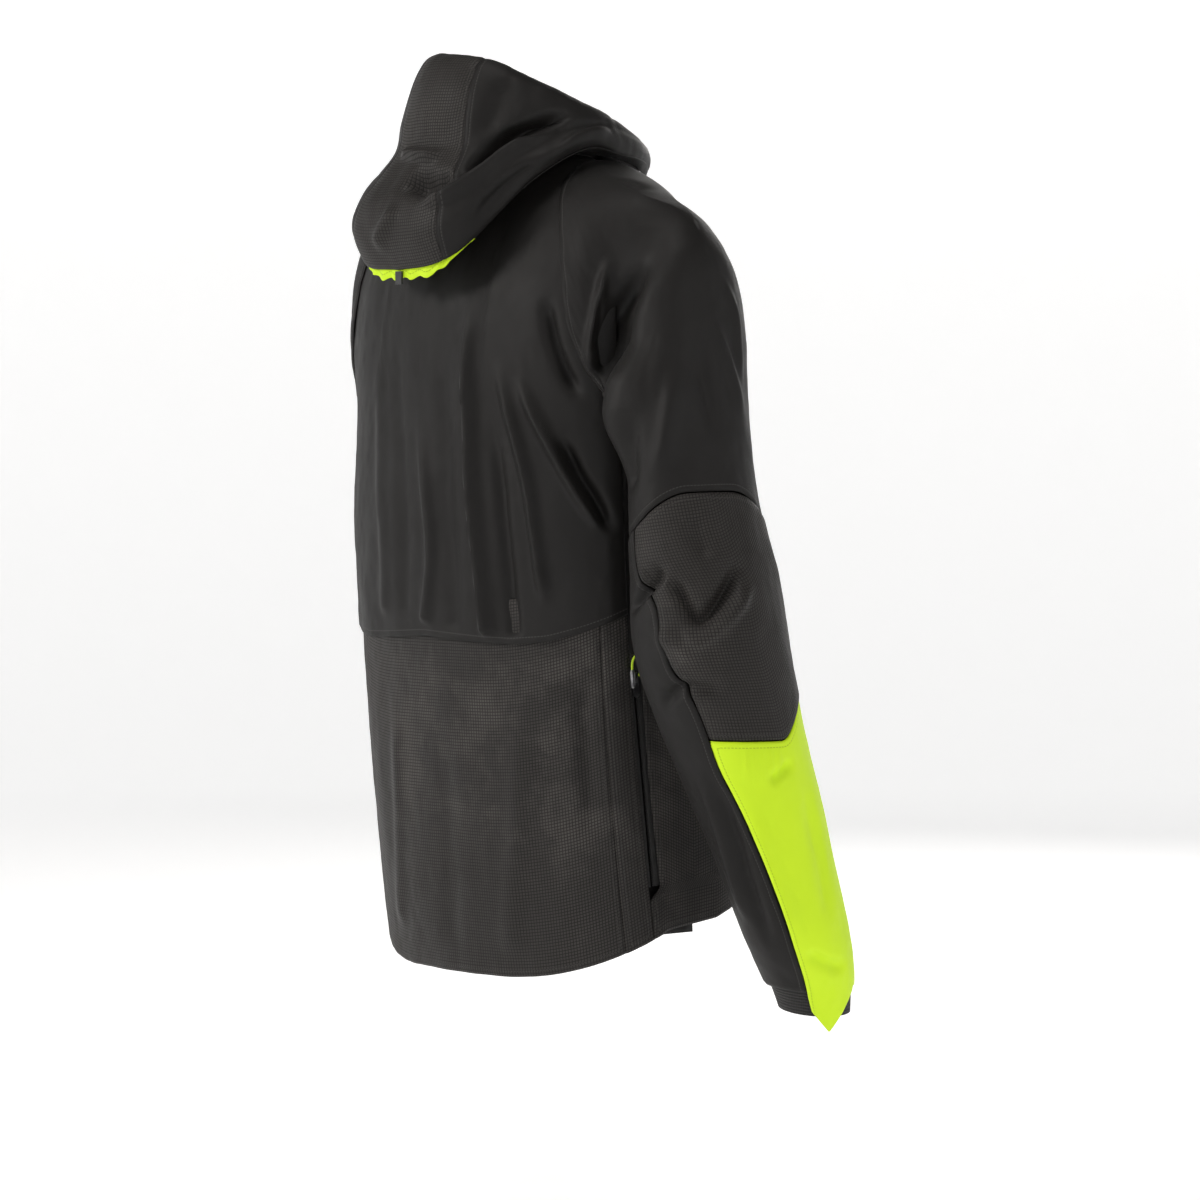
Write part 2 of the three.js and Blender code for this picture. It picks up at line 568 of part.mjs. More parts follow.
const FRONT_ZIP = { sliderFinish: 'metal', pullLength: 24, pullHalfWidth: 3.2, pullFinish: 'metal' };
const POCKET_ZIP = { sliderFinish: 'metal', pullLength: 16, pullHalfWidth: 3.2, pullFinish: 'plastic' };

function makeZips() {
  const zipAt = (z) => new THREE.Vector3(0, zipY(z), z);
  const front = makeZip('front_zip', zipAt(ZIP_TOP_Z), zipAt(FRONT_ZIP_BOTTOM_Z), new THREE.Vector3(0, -1, 0),
    FRONT_ZIP);
  const stop = new THREE.BoxGeometry(...STOP_SIZE);
  stop.translate(0, STOP_OUT, STOP_LIFT - front.position.distanceTo(zipAt(FRONT_ZIP_BOTTOM_Z)));
  addTo(front, 'front_zip_bottom_stop', stop, 'metal');
  const middle = (POCKET_WELT_COLUMN + POCKET_FRONT_COLUMN) / 2;
  for (const [name, side] of mirrored) {
    const ends = [POCKET_TOP_Z, POCKET_BOTTOM_Z].map((z) => lowerTorso(side * middle, z));
    const beside = lowerTorso(side * (middle + 1), POCKET_TOP_Z).sub(ends[0]);
    const outward = new THREE.Vector3(0, 0, 1).cross(beside).multiplyScalar(side).normalize();
    ends.forEach((end) => end.addScaledVector(outward, -POCKET_RECESS));
    makeZip(`pocket_zip_${name}`, ends[0], ends[1], outward, POCKET_ZIP);
  }
}

// The storm flap behind the front zip and the guard over its top end.
function makeZipGuards() {
  const top = new THREE.Vector3(0, zipY(ZIP_TOP_Z), ZIP_TOP_Z);
  const bottom = new THREE.Vector3(0, zipY(FRONT_ZIP_BOTTOM_Z), FRONT_ZIP_BOTTOM_Z);
  const frame = zipFrame(top, bottom, new THREE.Vector3(0, -1, 0));
  const length = top.distanceTo(bottom);
  const flap = new THREE.BoxGeometry(STORM_FLAP_WIDTH, 1.4, length - COLLAR_LENGTH);
  flap.translate(3, -6, -(length + COLLAR_LENGTH) / 2);
  addTo(frame, 'front_storm_flap', flap, 'shell');
}

// ---- Hood drawcord ends. Each leaves the hood beside the neck, passes through a push-button lock and hangs
// inside the collar ----
const CORD_ROUTE = [[78.2, 36.8], [76, LOCK_Z], [71, LOCK_Z], [67, 36.8], [63.8, 34.5], [62.6, 30], [62.5, 22],
  [62.5, 8], [62.5, -8], [62.5, -22]];
const CORD_END_GAP = 0.3;

// A point beside the neck at a distance from the hood's axis.
function besideNeck(side, radius, z) {
  const [s, c] = [Math.sin(CORD_ANGLE * DEGREE), Math.cos(CORD_ANGLE * DEGREE)];
  return new THREE.Vector3(side * radius * s, HOOD_CENTRE_Y + radius * c, z);
}

function barrel(points) {
  return new THREE.LatheGeometry(points.map(([radius, height]) => new THREE.Vector2(radius, height)), 20);
}

function makeDrawcord(name, side) {
  const section = new THREE.Shape();
  section.absellipse(0, 0, CORD_RADIUS, CORD_RADIUS, 0, 2 * Math.PI);
  const route = new THREE.CatmullRomCurve3(CORD_ROUTE.map(([radius, z]) => besideNeck(side, radius, z)));
  const cord = new THREE.ExtrudeGeometry(section, { steps: 30, extrudePath: route, curveSegments: 4 });
  addMesh(`hood_drawcord_${name}`, cord, 'shell');
  const [endRadius, endZ] = CORD_ROUTE.at(-1);
  const tip = barrel([[0, -7], [2, -6.4], [2.4, -3], [1.8, 0], [0, 0]]);
  tip.rotateX(Math.PI / 2);
  const end = addMesh(`drawcord_end_${name}`, tip, 'plastic');
  end.position.copy(besideNeck(side, endRadius, endZ - CORD_END_GAP));

  // The lock's frame has Y up its barrel and Z out along the cord.
  const frame = new THREE.Group();
  const out = besideNeck(side, 1, 0).sub(besideNeck(side, 0, 0));
  const up = new THREE.Vector3(0, 0, 1);
  frame.quaternion.setFromRotationMatrix(new THREE.Matrix4().makeBasis(up.clone().cross(out), up, out));
  frame.position.copy(besideNeck(side, LOCK_RING_RADIUS, LOCK_Z));
  jacket.add(frame);
  const cup = barrel([[0, -4.2], [3.2, -4.2], [LOCK_RADIUS, -3.7], [LOCK_RADIUS, 2.6], [3.3, 3], [LOCK_BORE, 3],
    [LOCK_BORE, -3.4], [0, -3.4]]);
  const bore = new THREE.CylinderGeometry(1.4, 1.4, 12, 12);
  bore.rotateX(Math.PI / 2);
  addTo(frame, `cord_lock_${name}`, geometryOf(solidOf(cup).subtract(solidOf(bore))), 'plastic');
  const button = barrel([[0, -1.75], [2.45, -1.75], [2.45, 4.3], [2, 5], [0, 5.3]]);
  const slot = new THREE.BoxGeometry(2.6, 2.6 + LOCK_TRAVEL, 12);
  slot.translate(0, LOCK_TRAVEL / 2, 0);
  addTo(frame, `cord_lock_button_${name}`, geometryOf(solidOf(button).subtract(solidOf(slot))), 'plastic');
}

function makeHangerLoop() {
  const path = new THREE.CatmullRomCurve3([
    new THREE.Vector3(-27, -1, -6), new THREE.Vector3(-22, -0.5, 0), new THREE.Vector3(-10, 0, LOOP_RADIUS),
    new THREE.Vector3(10, 0, LOOP_RADIUS), new THREE.Vector3(22, -0.5, 0), new THREE.Vector3(27, -1, -6),
  ]);
  const section = new THREE.Shape();
  section.absellipse(0, 0, LOOP_RADIUS, LOOP_RADIUS, 0, 2 * Math.PI);
  const loop = new THREE.ExtrudeGeometry(section, { steps: 16, extrudePath: path, curveSegments: 4 });
  addMesh('hanger_loop', loop, 'shell');
}

makeBack();
makeSidesAndFront();
makeCollar();
makeHood();
makeZips();
makeZipGuards();
makeHangerLoop();
for (const [name, side] of mirrored) {
  makeSleeve(name, side);
  makeDrawcord(name, side);
}
export default jacket;
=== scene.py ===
# Looks of the hooded shell jacket. Every piece of cloth is rebuilt as a fine folded sheet over its CAD panel.
# The shape helpers work in millimetres in the jacket's frame, and meshes are made in metres.
import math

import bpy
import numpy as np
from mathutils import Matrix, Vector


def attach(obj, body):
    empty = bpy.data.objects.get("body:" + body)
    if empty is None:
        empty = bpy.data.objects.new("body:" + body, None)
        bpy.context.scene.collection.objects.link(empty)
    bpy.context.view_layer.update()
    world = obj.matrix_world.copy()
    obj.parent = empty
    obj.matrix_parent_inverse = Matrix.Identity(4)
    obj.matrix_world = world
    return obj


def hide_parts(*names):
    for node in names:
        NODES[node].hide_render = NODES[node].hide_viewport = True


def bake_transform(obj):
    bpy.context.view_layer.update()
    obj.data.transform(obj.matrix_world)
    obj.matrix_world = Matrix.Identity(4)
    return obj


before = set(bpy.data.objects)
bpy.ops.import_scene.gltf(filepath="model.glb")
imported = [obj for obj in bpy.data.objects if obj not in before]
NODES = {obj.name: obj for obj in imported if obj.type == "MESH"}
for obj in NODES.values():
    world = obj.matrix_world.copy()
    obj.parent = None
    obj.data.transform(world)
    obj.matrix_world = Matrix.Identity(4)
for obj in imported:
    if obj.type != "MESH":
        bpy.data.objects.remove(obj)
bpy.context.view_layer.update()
MM = 0.001


# ---- Camera, light and floor ----
def aim(obj, target):
    obj.rotation_mode = "QUATERNION"
    obj.rotation_quaternion = (Vector(target) - obj.location).to_track_quat("-Z", "Y")


CAMERA_LENS, CAMERA_PLACE, CAMERA_TARGET = 128.4, (-3.0975, 2.4664, -0.25), (-0.0334, -0.1048, -0.402)
JACKET_MIDDLE, JACKET_CHEST = (0, -0.07, -0.4), (0, -0.07, -0.3)
WARM, PALE_WARM = (1, 0.965, 0.935), (1, 0.97, 0.94)
BACKDROP_GLOW, WORLD_GLOW = 0.45, 0.08


def make_camera():
    data = bpy.data.cameras.new("camera")
    data.lens, data.sensor_width, data.clip_end = CAMERA_LENS, 36, 60
    camera = bpy.data.objects.new("camera", data)
    bpy.context.scene.collection.objects.link(camera)
    camera.location = CAMERA_PLACE
    aim(camera, CAMERA_TARGET)
    bpy.context.scene.camera = camera


def area_light(name, location, target, size, power, tint):
    data = bpy.data.lights.new(name, "AREA")
    data.shape, data.size, data.size_y = "RECTANGLE", size, size
    data.energy, data.color = power, tint
    light = bpy.data.objects.new(name, data)
    bpy.context.scene.collection.objects.link(light)
    light.location = location
    aim(light, target)


def make_stage():
    # A round floor that curves up into a low wall all round the jacket.
    floor_z, reach, corner, wall_top = -1.02, 7.5, 2.0, 2.6
    line = [(0.4, floor_z), (reach - corner, floor_z)]
    line += [(reach - corner + corner * math.sin(a), floor_z + corner - corner * math.cos(a))
             for a in np.linspace(0.1, math.pi / 2, 12)]
    line += [(reach, wall_top)]
    sides = 48
    verts = [(0, 0, floor_z)]
    verts += [(r * math.cos(2 * math.pi * k / sides), r * math.sin(2 * math.pi * k / sides), z)
              for r, z in line for k in range(sides)]
    faces = [(0, 1 + k, 1 + (k + 1) % sides) for k in range(sides)]
    for row in range(len(line) - 1):
        for k in range(sides):
            a, b = 1 + row * sides + k, 1 + row * sides + (k + 1) % sides
            faces.append((a, a + sides, b + sides, b))
    mesh = bpy.data.meshes.new("backdrop")
    mesh.from_pydata(verts, [], faces)
    mesh.polygons.foreach_set("use_smooth", [True] * len(faces))
    backdrop = bpy.data.objects.new("backdrop", mesh)
    bpy.context.scene.collection.objects.link(backdrop)
    material = bpy.data.materials.new("pale_backdrop")
    material.use_nodes = True
    surface = material.node_tree.nodes["Principled BSDF"]
    surface.inputs["Base Color"].default_value = (0.9, 0.9, 0.9, 1)
    surface.inputs["Roughness"].default_value = 0.9
    surface.inputs["Specular IOR Level"].default_value = 0.1
    surface.inputs["Emission Color"].default_value = (1, 1, 1, 1)
    surface.inputs["Emission Strength"].default_value = BACKDROP_GLOW
    mesh.materials.append(material)
    world = bpy.data.worlds.new("studio")
    world.use_nodes = True
    world.node_tree.nodes["Background"].inputs["Color"].default_value = (1, 1, 1, 1)
    world.node_tree.nodes["Background"].inputs["Strength"].default_value = WORLD_GLOW
    bpy.context.scene.world = world
    bpy.context.scene.view_settings.view_transform = "Standard"


make_camera()
make_stage()
area_light("key", (1.7, 3.7, 1.6), JACKET_MIDDLE, 1.0, 92, WARM)
area_light("side", (-3.6, -0.6, 1.6), JACKET_MIDDLE, 1.0, 24, WARM)
area_light("top", (-0.3, 0.6, 2.6), JACKET_CHEST, 0.9, 30, PALE_WARM)
area_light("front", (1.8, -3.2, 1.0), JACKET_MIDDLE, 1.6, 34, PALE_WARM)


# ---- Small maths helpers ----
def mix(a, b, t):
    return a + (b - a) * t


def smooth(t):
    t = np.clip(t, 0.0, 1.0)
    return t * t * (3 - 2 * t)


def unit(v):
    return v / np.maximum(np.linalg.norm(v, axis=-1, keepdims=True), 1e-9)


def between_rows(a, b, c, d, f):
    """Catmull-Rom value at f, from 0 at b to 1 at c."""
    return b + 0.5 * f * (c - a + f * (2 * a - 5 * b + 4 * c - d + f * (3 * (b - c) + d - a)))


def along_rows(rows, t):
    """Catmull-Rom value of the rows at position t, one unit per row. Rows may be arrays, one for each t."""
    rows = np.asarray(rows, float)
    t = np.asarray(t, float)
    last = len(rows) - 1
    i = np.clip(np.floor(t).astype(int), 0, last - 1)
    f = (t - i)[..., None]
    a, b, c, d = (rows[np.clip(i + k, 0, last)] for k in (-1, 0, 1, 2))
    return between_rows(a, b, c, d, f)


def table(pairs, t):
    """Value at t of a list of (t, value), smoothed at its corners."""
    xs, ys = zip(*pairs)
    width = (xs[-1] - xs[0]) / 60
    return sum(np.interp(np.asarray(t, float) + k * width, xs, ys) for k in (-1, 0, 1)) / 3


NOISE_CELLS = 61


def ripple(u, v, cell_u, cell_v, seed):
    """Smooth seeded noise from -1 to 1 with cells of this size."""
    lattice = np.random.default_rng(seed).uniform(-1, 1, (NOISE_CELLS, NOISE_CELLS))
    x, y = np.asarray(u) / cell_u + 7.3, np.asarray(v) / cell_v + 3.1
    i, j = np.floor(x).astype(int), np.floor(y).astype(int)
    f, g = smooth(x - i), smooth(y - j)
    at = lambda di, dj: lattice[(i + di) % NOISE_CELLS, (j + dj) % NOISE_CELLS]
    return mix(mix(at(0, 0), at(1, 0), f), mix(at(0, 1), at(1, 1), f), g)


# ---- Torso surface. Columns run round the body: 0 centre back, 90 to 100 the side, 190 centre front ----
CHEST_HALF_WIDTH, HEM_HALF_WIDTH = 188.0, 186.0
BACK_DEPTH, BACK_DEPTH_HEM, FRONT_DEPTH = 142.0, 136.0, 112.0
SIDE_FLAT, SIDE_FLAT_HEM = 50.0, 25.0
CHEST_CENTRE_Y, HEM_CENTRE_Y = -65.0, -90.0
ARMPIT_Z, HEM_BACK_Z, HEM_FRONT_Z = -220.0, -741.0, -676.0
SHOULDER_NECK_Z, SHOULDER_SLOPE, SHOULDER_SLOPE_START = 17.0, 0.39, 55.0
SHOULDER_SHIFT_Y, SHOULDER_EXPONENT = 25.0, 2.3
NECK_CENTRE_Y, NECK_HALF_WIDTH, NECK_HALF_DEPTH = -66.0, 76.0, 78.0
ZIP_TOP_Z, ZIP_TOP_Y, ZIP_SLOPE, ZIP_BOTTOM_Z = 20.0, -154.0, 0.0955, -670.0
BACK_END, FRONT_START = 90.0, 100.0
UPPER_LENGTH = 290.0


def shoulder_z(x):
    return SHOULDER_NECK_Z - SHOULDER_SLOPE * np.maximum(0.0, np.abs(x) - SHOULDER_SLOPE_START)


def shoulder_y(x):
    return CHEST_CENTRE_Y + SHOULDER_SHIFT_Y * (x / CHEST_HALF_WIDTH) ** 2


def zip_y(z):
    return ZIP_TOP_Y - ZIP_SLOPE * (ZIP_TOP_Z - z)


def ring_at(column, z):
    t = np.clip((ARMPIT_Z - z) / (ARMPIT_Z - HEM_BACK_Z), 0.0, 1.0) ** 2
    half = mix(CHEST_HALF_WIDTH, HEM_HALF_WIDTH, t)
    flat = mix(SIDE_FLAT, SIDE_FLAT_HEM, t)
    centre = mix(CHEST_CENTRE_Y, HEM_CENTRE_Y, t)
    a, side = np.abs(column), np.where(column < 0, -1.0, 1.0)
    angle = np.radians(np.clip(a, 0.0, BACK_END))
    turn = np.radians(np.clip(a - FRONT_START, 0.0, 90.0))
    front = centre - zip_y(np.minimum(z, ARMPIT_Z))
    x = np.where(a <= BACK_END, half * np.sin(angle), half * np.cos(turn))
    y_back = flat + (mix(BACK_DEPTH, BACK_DEPTH_HEM, t) - flat) * np.cos(angle)
    y_side = mix(flat, -flat, (a - BACK_END) / (FRONT_START - BACK_END))
    y_front = -flat - (front - flat) * np.sin(turn)
    y = np.where(a <= BACK_END, y_back, np.where(a <= FRONT_START, y_side, y_front))
    return side * x, y, centre


def arch(x, depth, rise):
    """A point of the upper torso on the slice at x: rise is 0 at the armpit and 1 on the shoulder ridge."""
    angle = np.clip(rise, 0.0, 1.0) * math.pi / 2
    up = np.sin(angle) ** (2 / SHOULDER_EXPONENT)
    out = np.maximum(0.0, np.cos(angle)) ** (2 / SHOULDER_EXPONENT)
    z = ARMPIT_Z + (shoulder_z(x) - ARMPIT_Z) * up
    y = mix(CHEST_CENTRE_Y, shoulder_y(x), up) + depth * out
    pull = np.where(depth < 0, np.exp(-((x / 60) ** 2)) * smooth(out * 3 - 1), 0.0)
    return np.stack(np.broadcast_arrays(x, mix(y, zip_y(z), pull), z), -1)


def torso(column, height):
    """Height is z below the armpit. Above it, the shoulder ridge is UPPER_LENGTH higher."""
    column, height = np.broadcast_arrays(np.asarray(column, float), np.asarray(height, float))
    x, y, centre = ring_at(column, np.minimum(height, ARMPIT_Z))
    low = np.stack([x, centre + y, np.minimum(height, ARMPIT_Z)], -1)
    high = arch(x, y, np.clip((height - ARMPIT_Z) / UPPER_LENGTH, 0, 1))
    return np.where((height <= ARMPIT_Z)[..., None], low, high)


def neck_height(column):
    """Height at which a column meets the neck opening, or the shoulder ridge."""
    x, depth, _ = ring_at(np.asarray(column, float), np.full(np.shape(column), ARMPIT_Z))
    room = np.maximum(0.0, 1 - (x / NECK_HALF_WIDTH) ** 2)
    edge = NECK_CENTRE_Y + np.sign(depth) * NECK_HALF_DEPTH * np.sqrt(room)
    out = np.clip(np.abs(edge - CHEST_CENTRE_Y) / np.abs(depth), 0, 1)
    rise = np.where(room <= 0, 1.0, np.arccos(out ** (SHOULDER_EXPONENT / 2)) / (math.pi / 2))
    return ARMPIT_Z + UPPER_LENGTH * rise


def on_torso(x, z, back):
    """The torso's point at this half width and height above the armpit, behind or in front."""
    share = np.clip(x / CHEST_HALF_WIDTH, 0, 1)
    depth_back = SIDE_FLAT + (BACK_DEPTH - SIDE_FLAT) * np.sqrt(1 - share ** 2)
    front = CHEST_CENTRE_Y - zip_y(ARMPIT_Z)
    depth_front = -SIDE_FLAT - (front - SIDE_FLAT) * np.sqrt(1 - share ** 2)
    up = np.clip((z - ARMPIT_Z) / (shoulder_z(x) - ARMPIT_Z), 0, 1)
    rise = np.arcsin(up ** (SHOULDER_EXPONENT / 2)) / (math.pi / 2)
    point = arch(x, np.where(back, depth_back, depth_front), rise)
    point[..., 2] = np.minimum(point[..., 2], z)
    return point


def hem_z(column):
    return mix(HEM_BACK_Z, HEM_FRONT_Z, smooth((np.abs(column) - 20) / 110))


# ---- Hood and collar surfaces, by angle round the neck: 0 at the nape, 90 at the wearer's left ----
COLLAR_TOP_HALF_WIDTH, COLLAR_TOP_HALF_DEPTH, COLLAR_BACK_Z = 71.0, 73.0, 42.0
COLLAR_BASE_GAP, COLLAR_OPENING, HOOD_CENTRE_Y = -4.0, 13.0, -70.0
HOOD_LEAN, HOOD_LEAN_END = 14.0, 0.55
HOOD_ANGLES = [0, 22, 45, 68, 90, 130, 165]
# Radius from the neck axis and height, from the rim over the upper lobe, the crease and the lower lobe.
HOOD_PROFILES = [
    [[103, 92], [111, 100], [126, 93], [138, 70], [145, 41],
     [148, 13], [165, -11], [182, -37], [187, -68], [177, -99]],
    [[100, 90], [108, 98], [121, 90], [133, 68], [141, 40],
     [146, 13], [163, -10], [182, -34], [189, -60], [178, -87]],
    [[91, 74], [99, 83], [112, 75], [122, 56], [129, 36],
     [132, 20], [141, 9], [150, 0], [152, -9], [146, -20]],
    [[87, 58], [92, 68], [101, 62], [108, 50], [112, 40],
     [113, 32], [119, 25], [122, 20], [121, 16], [117, 11]],
    [[82, 46], [86, 53], [91, 50], [95, 43], [97, 37], [99, 32], [103, 26], [105, 19], [104, 13], [102, 8]],
    [[85, 22], [88, 28], [90, 26], [92, 22], [93, 19], [94, 16], [95, 13], [95, 9], [94, 6], [93, 3]],
    [[91, 12], [93, 17], [95, 15], [96, 12], [97, 9], [97, 6], [97, 3], [97, -1], [96, -4], [95, -7]],
]


def hood_point(angle, down):
    angle, down = np.broadcast_arrays(np.asarray(angle, float), np.asarray(down, float))
    station = np.interp(np.abs(angle), HOOD_ANGLES, range(len(HOOD_ANGLES)))
    flat = np.asarray(HOOD_PROFILES, float).reshape(len(HOOD_ANGLES), -1)
    profile = along_rows(flat, station).reshape(angle.shape + (10, 2))
    t = np.clip(down, 0, 1) * 9
    i = np.clip(np.floor(t).astype(int), 0, 8)
    f = (t - i)[..., None]
    pick = lambda k: np.take_along_axis(profile, np.clip(i + k, 0, 9)[..., None, None].repeat(2, -1),
                                        -2)[..., 0, :]
    a, b, c, d = pick(-1), pick(0), pick(1), pick(2)
    value = between_rows(a, b, c, d, f)
    radius, z = value[..., 0], value[..., 1]
    turn = np.radians(angle)
    lean = HOOD_LEAN * np.sin(turn) * (1 - smooth(down / HOOD_LEAN_END))
    return np.stack([radius * np.sin(turn), HOOD_CENTRE_Y + radius * np.cos(turn), z + lean], -1)


def body_height(x, y):
    share = np.minimum(1, np.abs(x) / CHEST_HALF_WIDTH)
    depth = np.where(y > CHEST_CENTRE_Y, BACK_DEPTH, FRONT_DEPTH)
    reach = SIDE_FLAT + (depth - SIDE_FLAT) * np.sqrt(1 - share ** 2)
    out = np.clip(np.abs(y - CHEST_CENTRE_Y) / reach, 0, 1)
    return ARMPIT_Z + (shoulder_z(x) - ARMPIT_Z) * (1 - out ** SHOULDER_EXPONENT) ** (1 / SHOULDER_EXPONENT)


def collar_point(angle, height, inset):
    angle, height = np.broadcast_arrays(np.asarray(angle, float), np.asarray(height, float))
    s, c = np.sin(np.radians(angle)), np.cos(np.radians(angle))
    base_z = body_height(NECK_HALF_WIDTH * s, NECK_CENTRE_Y + NECK_HALF_DEPTH * c) + COLLAR_BASE_GAP
    x = mix(NECK_HALF_WIDTH, COLLAR_TOP_HALF_WIDTH, height) * s
    y = NECK_CENTRE_Y + mix(NECK_HALF_DEPTH, COLLAR_TOP_HALF_DEPTH, height) * c
    z = mix(base_z, mix(ZIP_TOP_Z, COLLAR_BACK_Z, smooth((c + 1) / 1.6)), height)
    pull = np.exp(-((x / 60) ** 2)) * smooth(-c / 0.6)
    y = mix(y, zip_y(z), pull)
    inward = unit(np.stack([-x, NECK_CENTRE_Y - y, np.zeros_like(x)], -1))
    return np.stack([x, y, z], -1) + inward * np.asarray(inset, float)[..., None]


# ---- Sleeve surface. Round a ring, 0 faces outwards, 90 back, 180 the body and 270 the front ----
SLEEVE_STATIONS = [
    [191, -216, 191, -37, 51], [192, -222, 222, -52, 56], [193, -229, 250, -86, 61],
    [194, -238, 266, -137, 62], [195, -250, 277, -190, 62], [197, -300, 296, -285, 62],
    [201, -370, 322, -360, 68], [205, -436, 338, -428, 71], [212, -505, 338, -505, 66],
    [224, -595, 334, -600, 58], [233, -690, 328, -698, 51], [238, -740, 314, -748, 42],
    [241, -780, 300, -794, 35],
]
SLEEVE_CENTRE_Y = {
    "right": [-53, -50, -46, -42, -36, -32, -32, -34, -53, -90, -126, -149, -162],
    "left": [-53, -66, -84, -106, -124, -146, -162, -174, -194, -228, -262, -282, -296],
}
SIDES = {"left": 1.0, "right": -1.0}
ARMHOLE_ROWS = 2
# The raglan seam on the torso: angle round the sleeve, half width, and height.
RAGLAN = [(0, 88, 5), (14, 99, -6), (30, 113, -28), (50, 128, -52), (70, 140, -78), (95, 150, -112),
          (118, 157, -150), (142, 169, -188), (162, 180, -210), (180, 188, -220)]
SEAM_LIFT = 2.0


def tube(name, angle, station):
    rows = np.array([row + [y] for row, y in zip(SLEEVE_STATIONS, SLEEVE_CENTRE_Y[name])], float)
    v = along_rows(rows, station)
    c, s = np.cos(np.radians(angle)), np.sin(np.radians(angle))
    x = (v[..., 0] + v[..., 2]) / 2 + c * (v[..., 2] - v[..., 0]) / 2
    z = (v[..., 1] + v[..., 3]) / 2 + c * (v[..., 3] - v[..., 1]) / 2
    return np.stack([x, v[..., 5] + s * v[..., 4], z], -1)


def armhole_knots(name, angle):
    """Two rows of points on the torso from the raglan seam, then one at the edge of the shoulder."""
    a = np.abs((angle + 180) % 360 - 180)
    back = np.sin(np.radians(angle)) >= 0
    seam_x, seam_z = table([r[:2] for r in RAGLAN], a), table([(r[0], r[2]) for r in RAGLAN], a)
    seam_z = np.minimum(seam_z, shoulder_z(seam_x))
    edge = tube(name, angle, np.zeros_like(angle))
    edge_x = np.maximum(184.0, seam_x + 1)
    edge_z = np.minimum(edge[..., 2], shoulder_z(edge_x) - 1)
    rows = []
    for t, lift in ((0.0, SEAM_LIFT), (0.5, SEAM_LIFT + 2.5), (1.0, SEAM_LIFT + 4.0)):
        x, z = mix(seam_x, edge_x, t), mix(seam_z, edge_z, t)
        point = on_torso(x, z, back)
        away = unit(point - np.stack([x * 0.55, np.full_like(x, CHEST_CENTRE_Y), np.minimum(z - 60, -150)],
                                     -1))
        rows.append(point + away * lift)
    return rows


def sleeve_point(name, angle, station):
    """Station -2 is the raglan seam, 0 the shoulder's edge, and 12 the end of the cuff."""
    angle, station = np.broadcast_arrays(np.asarray(angle, float), np.asarray(station, float))
    knots = armhole_knots(name, angle) + [tube(name, angle, np.full_like(angle, k)) for k in range(1, 13)]
    knots = np.stack(knots)
    t = np.clip(station, -2, 12) + ARMHOLE_ROWS
    i = np.clip(np.floor(t).astype(int), 0, len(knots) - 2)
    f = (t - i)[..., None]

    def pick(k):
        index = np.clip(i + k, 0, len(knots) - 1)
        return np.take_along_axis(knots, index[None, ..., None].repeat(3, -1), 0)[0]
    a, b, c, d = pick(-1), pick(0), pick(1), pick(2)
    point = between_rows(a, b, c, d, f)
    return point * np.array([SIDES[name], 1.0, 1.0])


# ---- Procedural materials ----
class Nodes:
    """Short calls for the nodes of one material. A value may be a number or a socket."""

    def __init__(self, name):
        self.material = bpy.data.materials.new(name)
        self.material.use_nodes = True
        self.tree = self.material.node_tree
        self.surface = self.tree.nodes["Principled BSDF"]

    def node(self, kind, inputs=(), **settings):
        made = self.tree.nodes.new(kind)
        for key, value in settings.items():
            setattr(made, key, value)
        for key, value in dict(inputs).items():
            self.set(made.inputs[key], value)
        return made

    def set(self, socket, value):
        if isinstance(value, bpy.types.NodeSocket):
            self.tree.links.new(value, socket)
        else:
            socket.default_value = value

    def maths(self, operation, a, b=0.0, c=0.0):
        made = self.node("ShaderNodeMath", operation=operation)
        for socket, value in zip(made.inputs, (a, b, c)):
            self.set(socket, value)
        return made.outputs[0]

    def cloth(self, layer="cloth"):
        parts = self.node("ShaderNodeSeparateXYZ",
                          {0: self.node("ShaderNodeUVMap", uv_map=layer).outputs[0]})
        return parts.outputs[0], parts.outputs[1]

    def noise(self, scale, detail=3.0, roughness=0.55, place=None):
        place = place or self.node("ShaderNodeTexCoord").outputs["Object"]
        made = self.node("ShaderNodeTexNoise", {"Vector": place, "Scale": scale, "Detail": detail,
                                                "Roughness": roughness})
        return made.outputs["Fac"]

    def wave(self, value, period, phase=0.0):
        """A cosine from 0 to 1 with this period."""
        turn = self.maths("MULTIPLY_ADD", value, 2 * math.pi / period, phase)
        return self.maths("MULTIPLY_ADD", self.maths("COSINE", turn), 0.5, 0.5)

    def between(self, value, low, high, to_low=0.0, to_high=1.0):
        made = self.node("ShaderNodeMapRange", {"Value": value, "From Min": low, "From Max": high,
                                                "To Min": to_low, "To Max": to_high},
                         interpolation_type="SMOOTHSTEP")
        return made.outputs[0]

    def colours(self, factor, low, high):
        made = self.node("ShaderNodeMix", data_type="RGBA")
        self.set(made.inputs[0], factor)
        self.set(made.inputs[6], low if isinstance(low, bpy.types.NodeSocket) else (*low, 1))
        self.set(made.inputs[7], high if isinstance(high, bpy.types.NodeSocket) else (*high, 1))
        return made.outputs[2]

    def bump(self, height, distance, strength=1.0, normal=None):
        made = self.node("ShaderNodeBump", {"Height": height, "Distance": distance, "Strength": strength})
        if normal:
            self.set(made.inputs["Normal"], normal)
        return made.outputs[0]

    def finish(self, colour, roughness, normal, **fixed):
        self.set(self.surface.inputs["Base Color"], colour)
        self.set(self.surface.inputs["Roughness"], roughness)
        self.set(self.surface.inputs["Normal"], normal)
        for key, value in fixed.items():
            self.surface.inputs[key.replace("_", " ")].default_value = value
        return self.material


STITCH_PITCH, STITCH_INSET = 0.0032, 0.0055


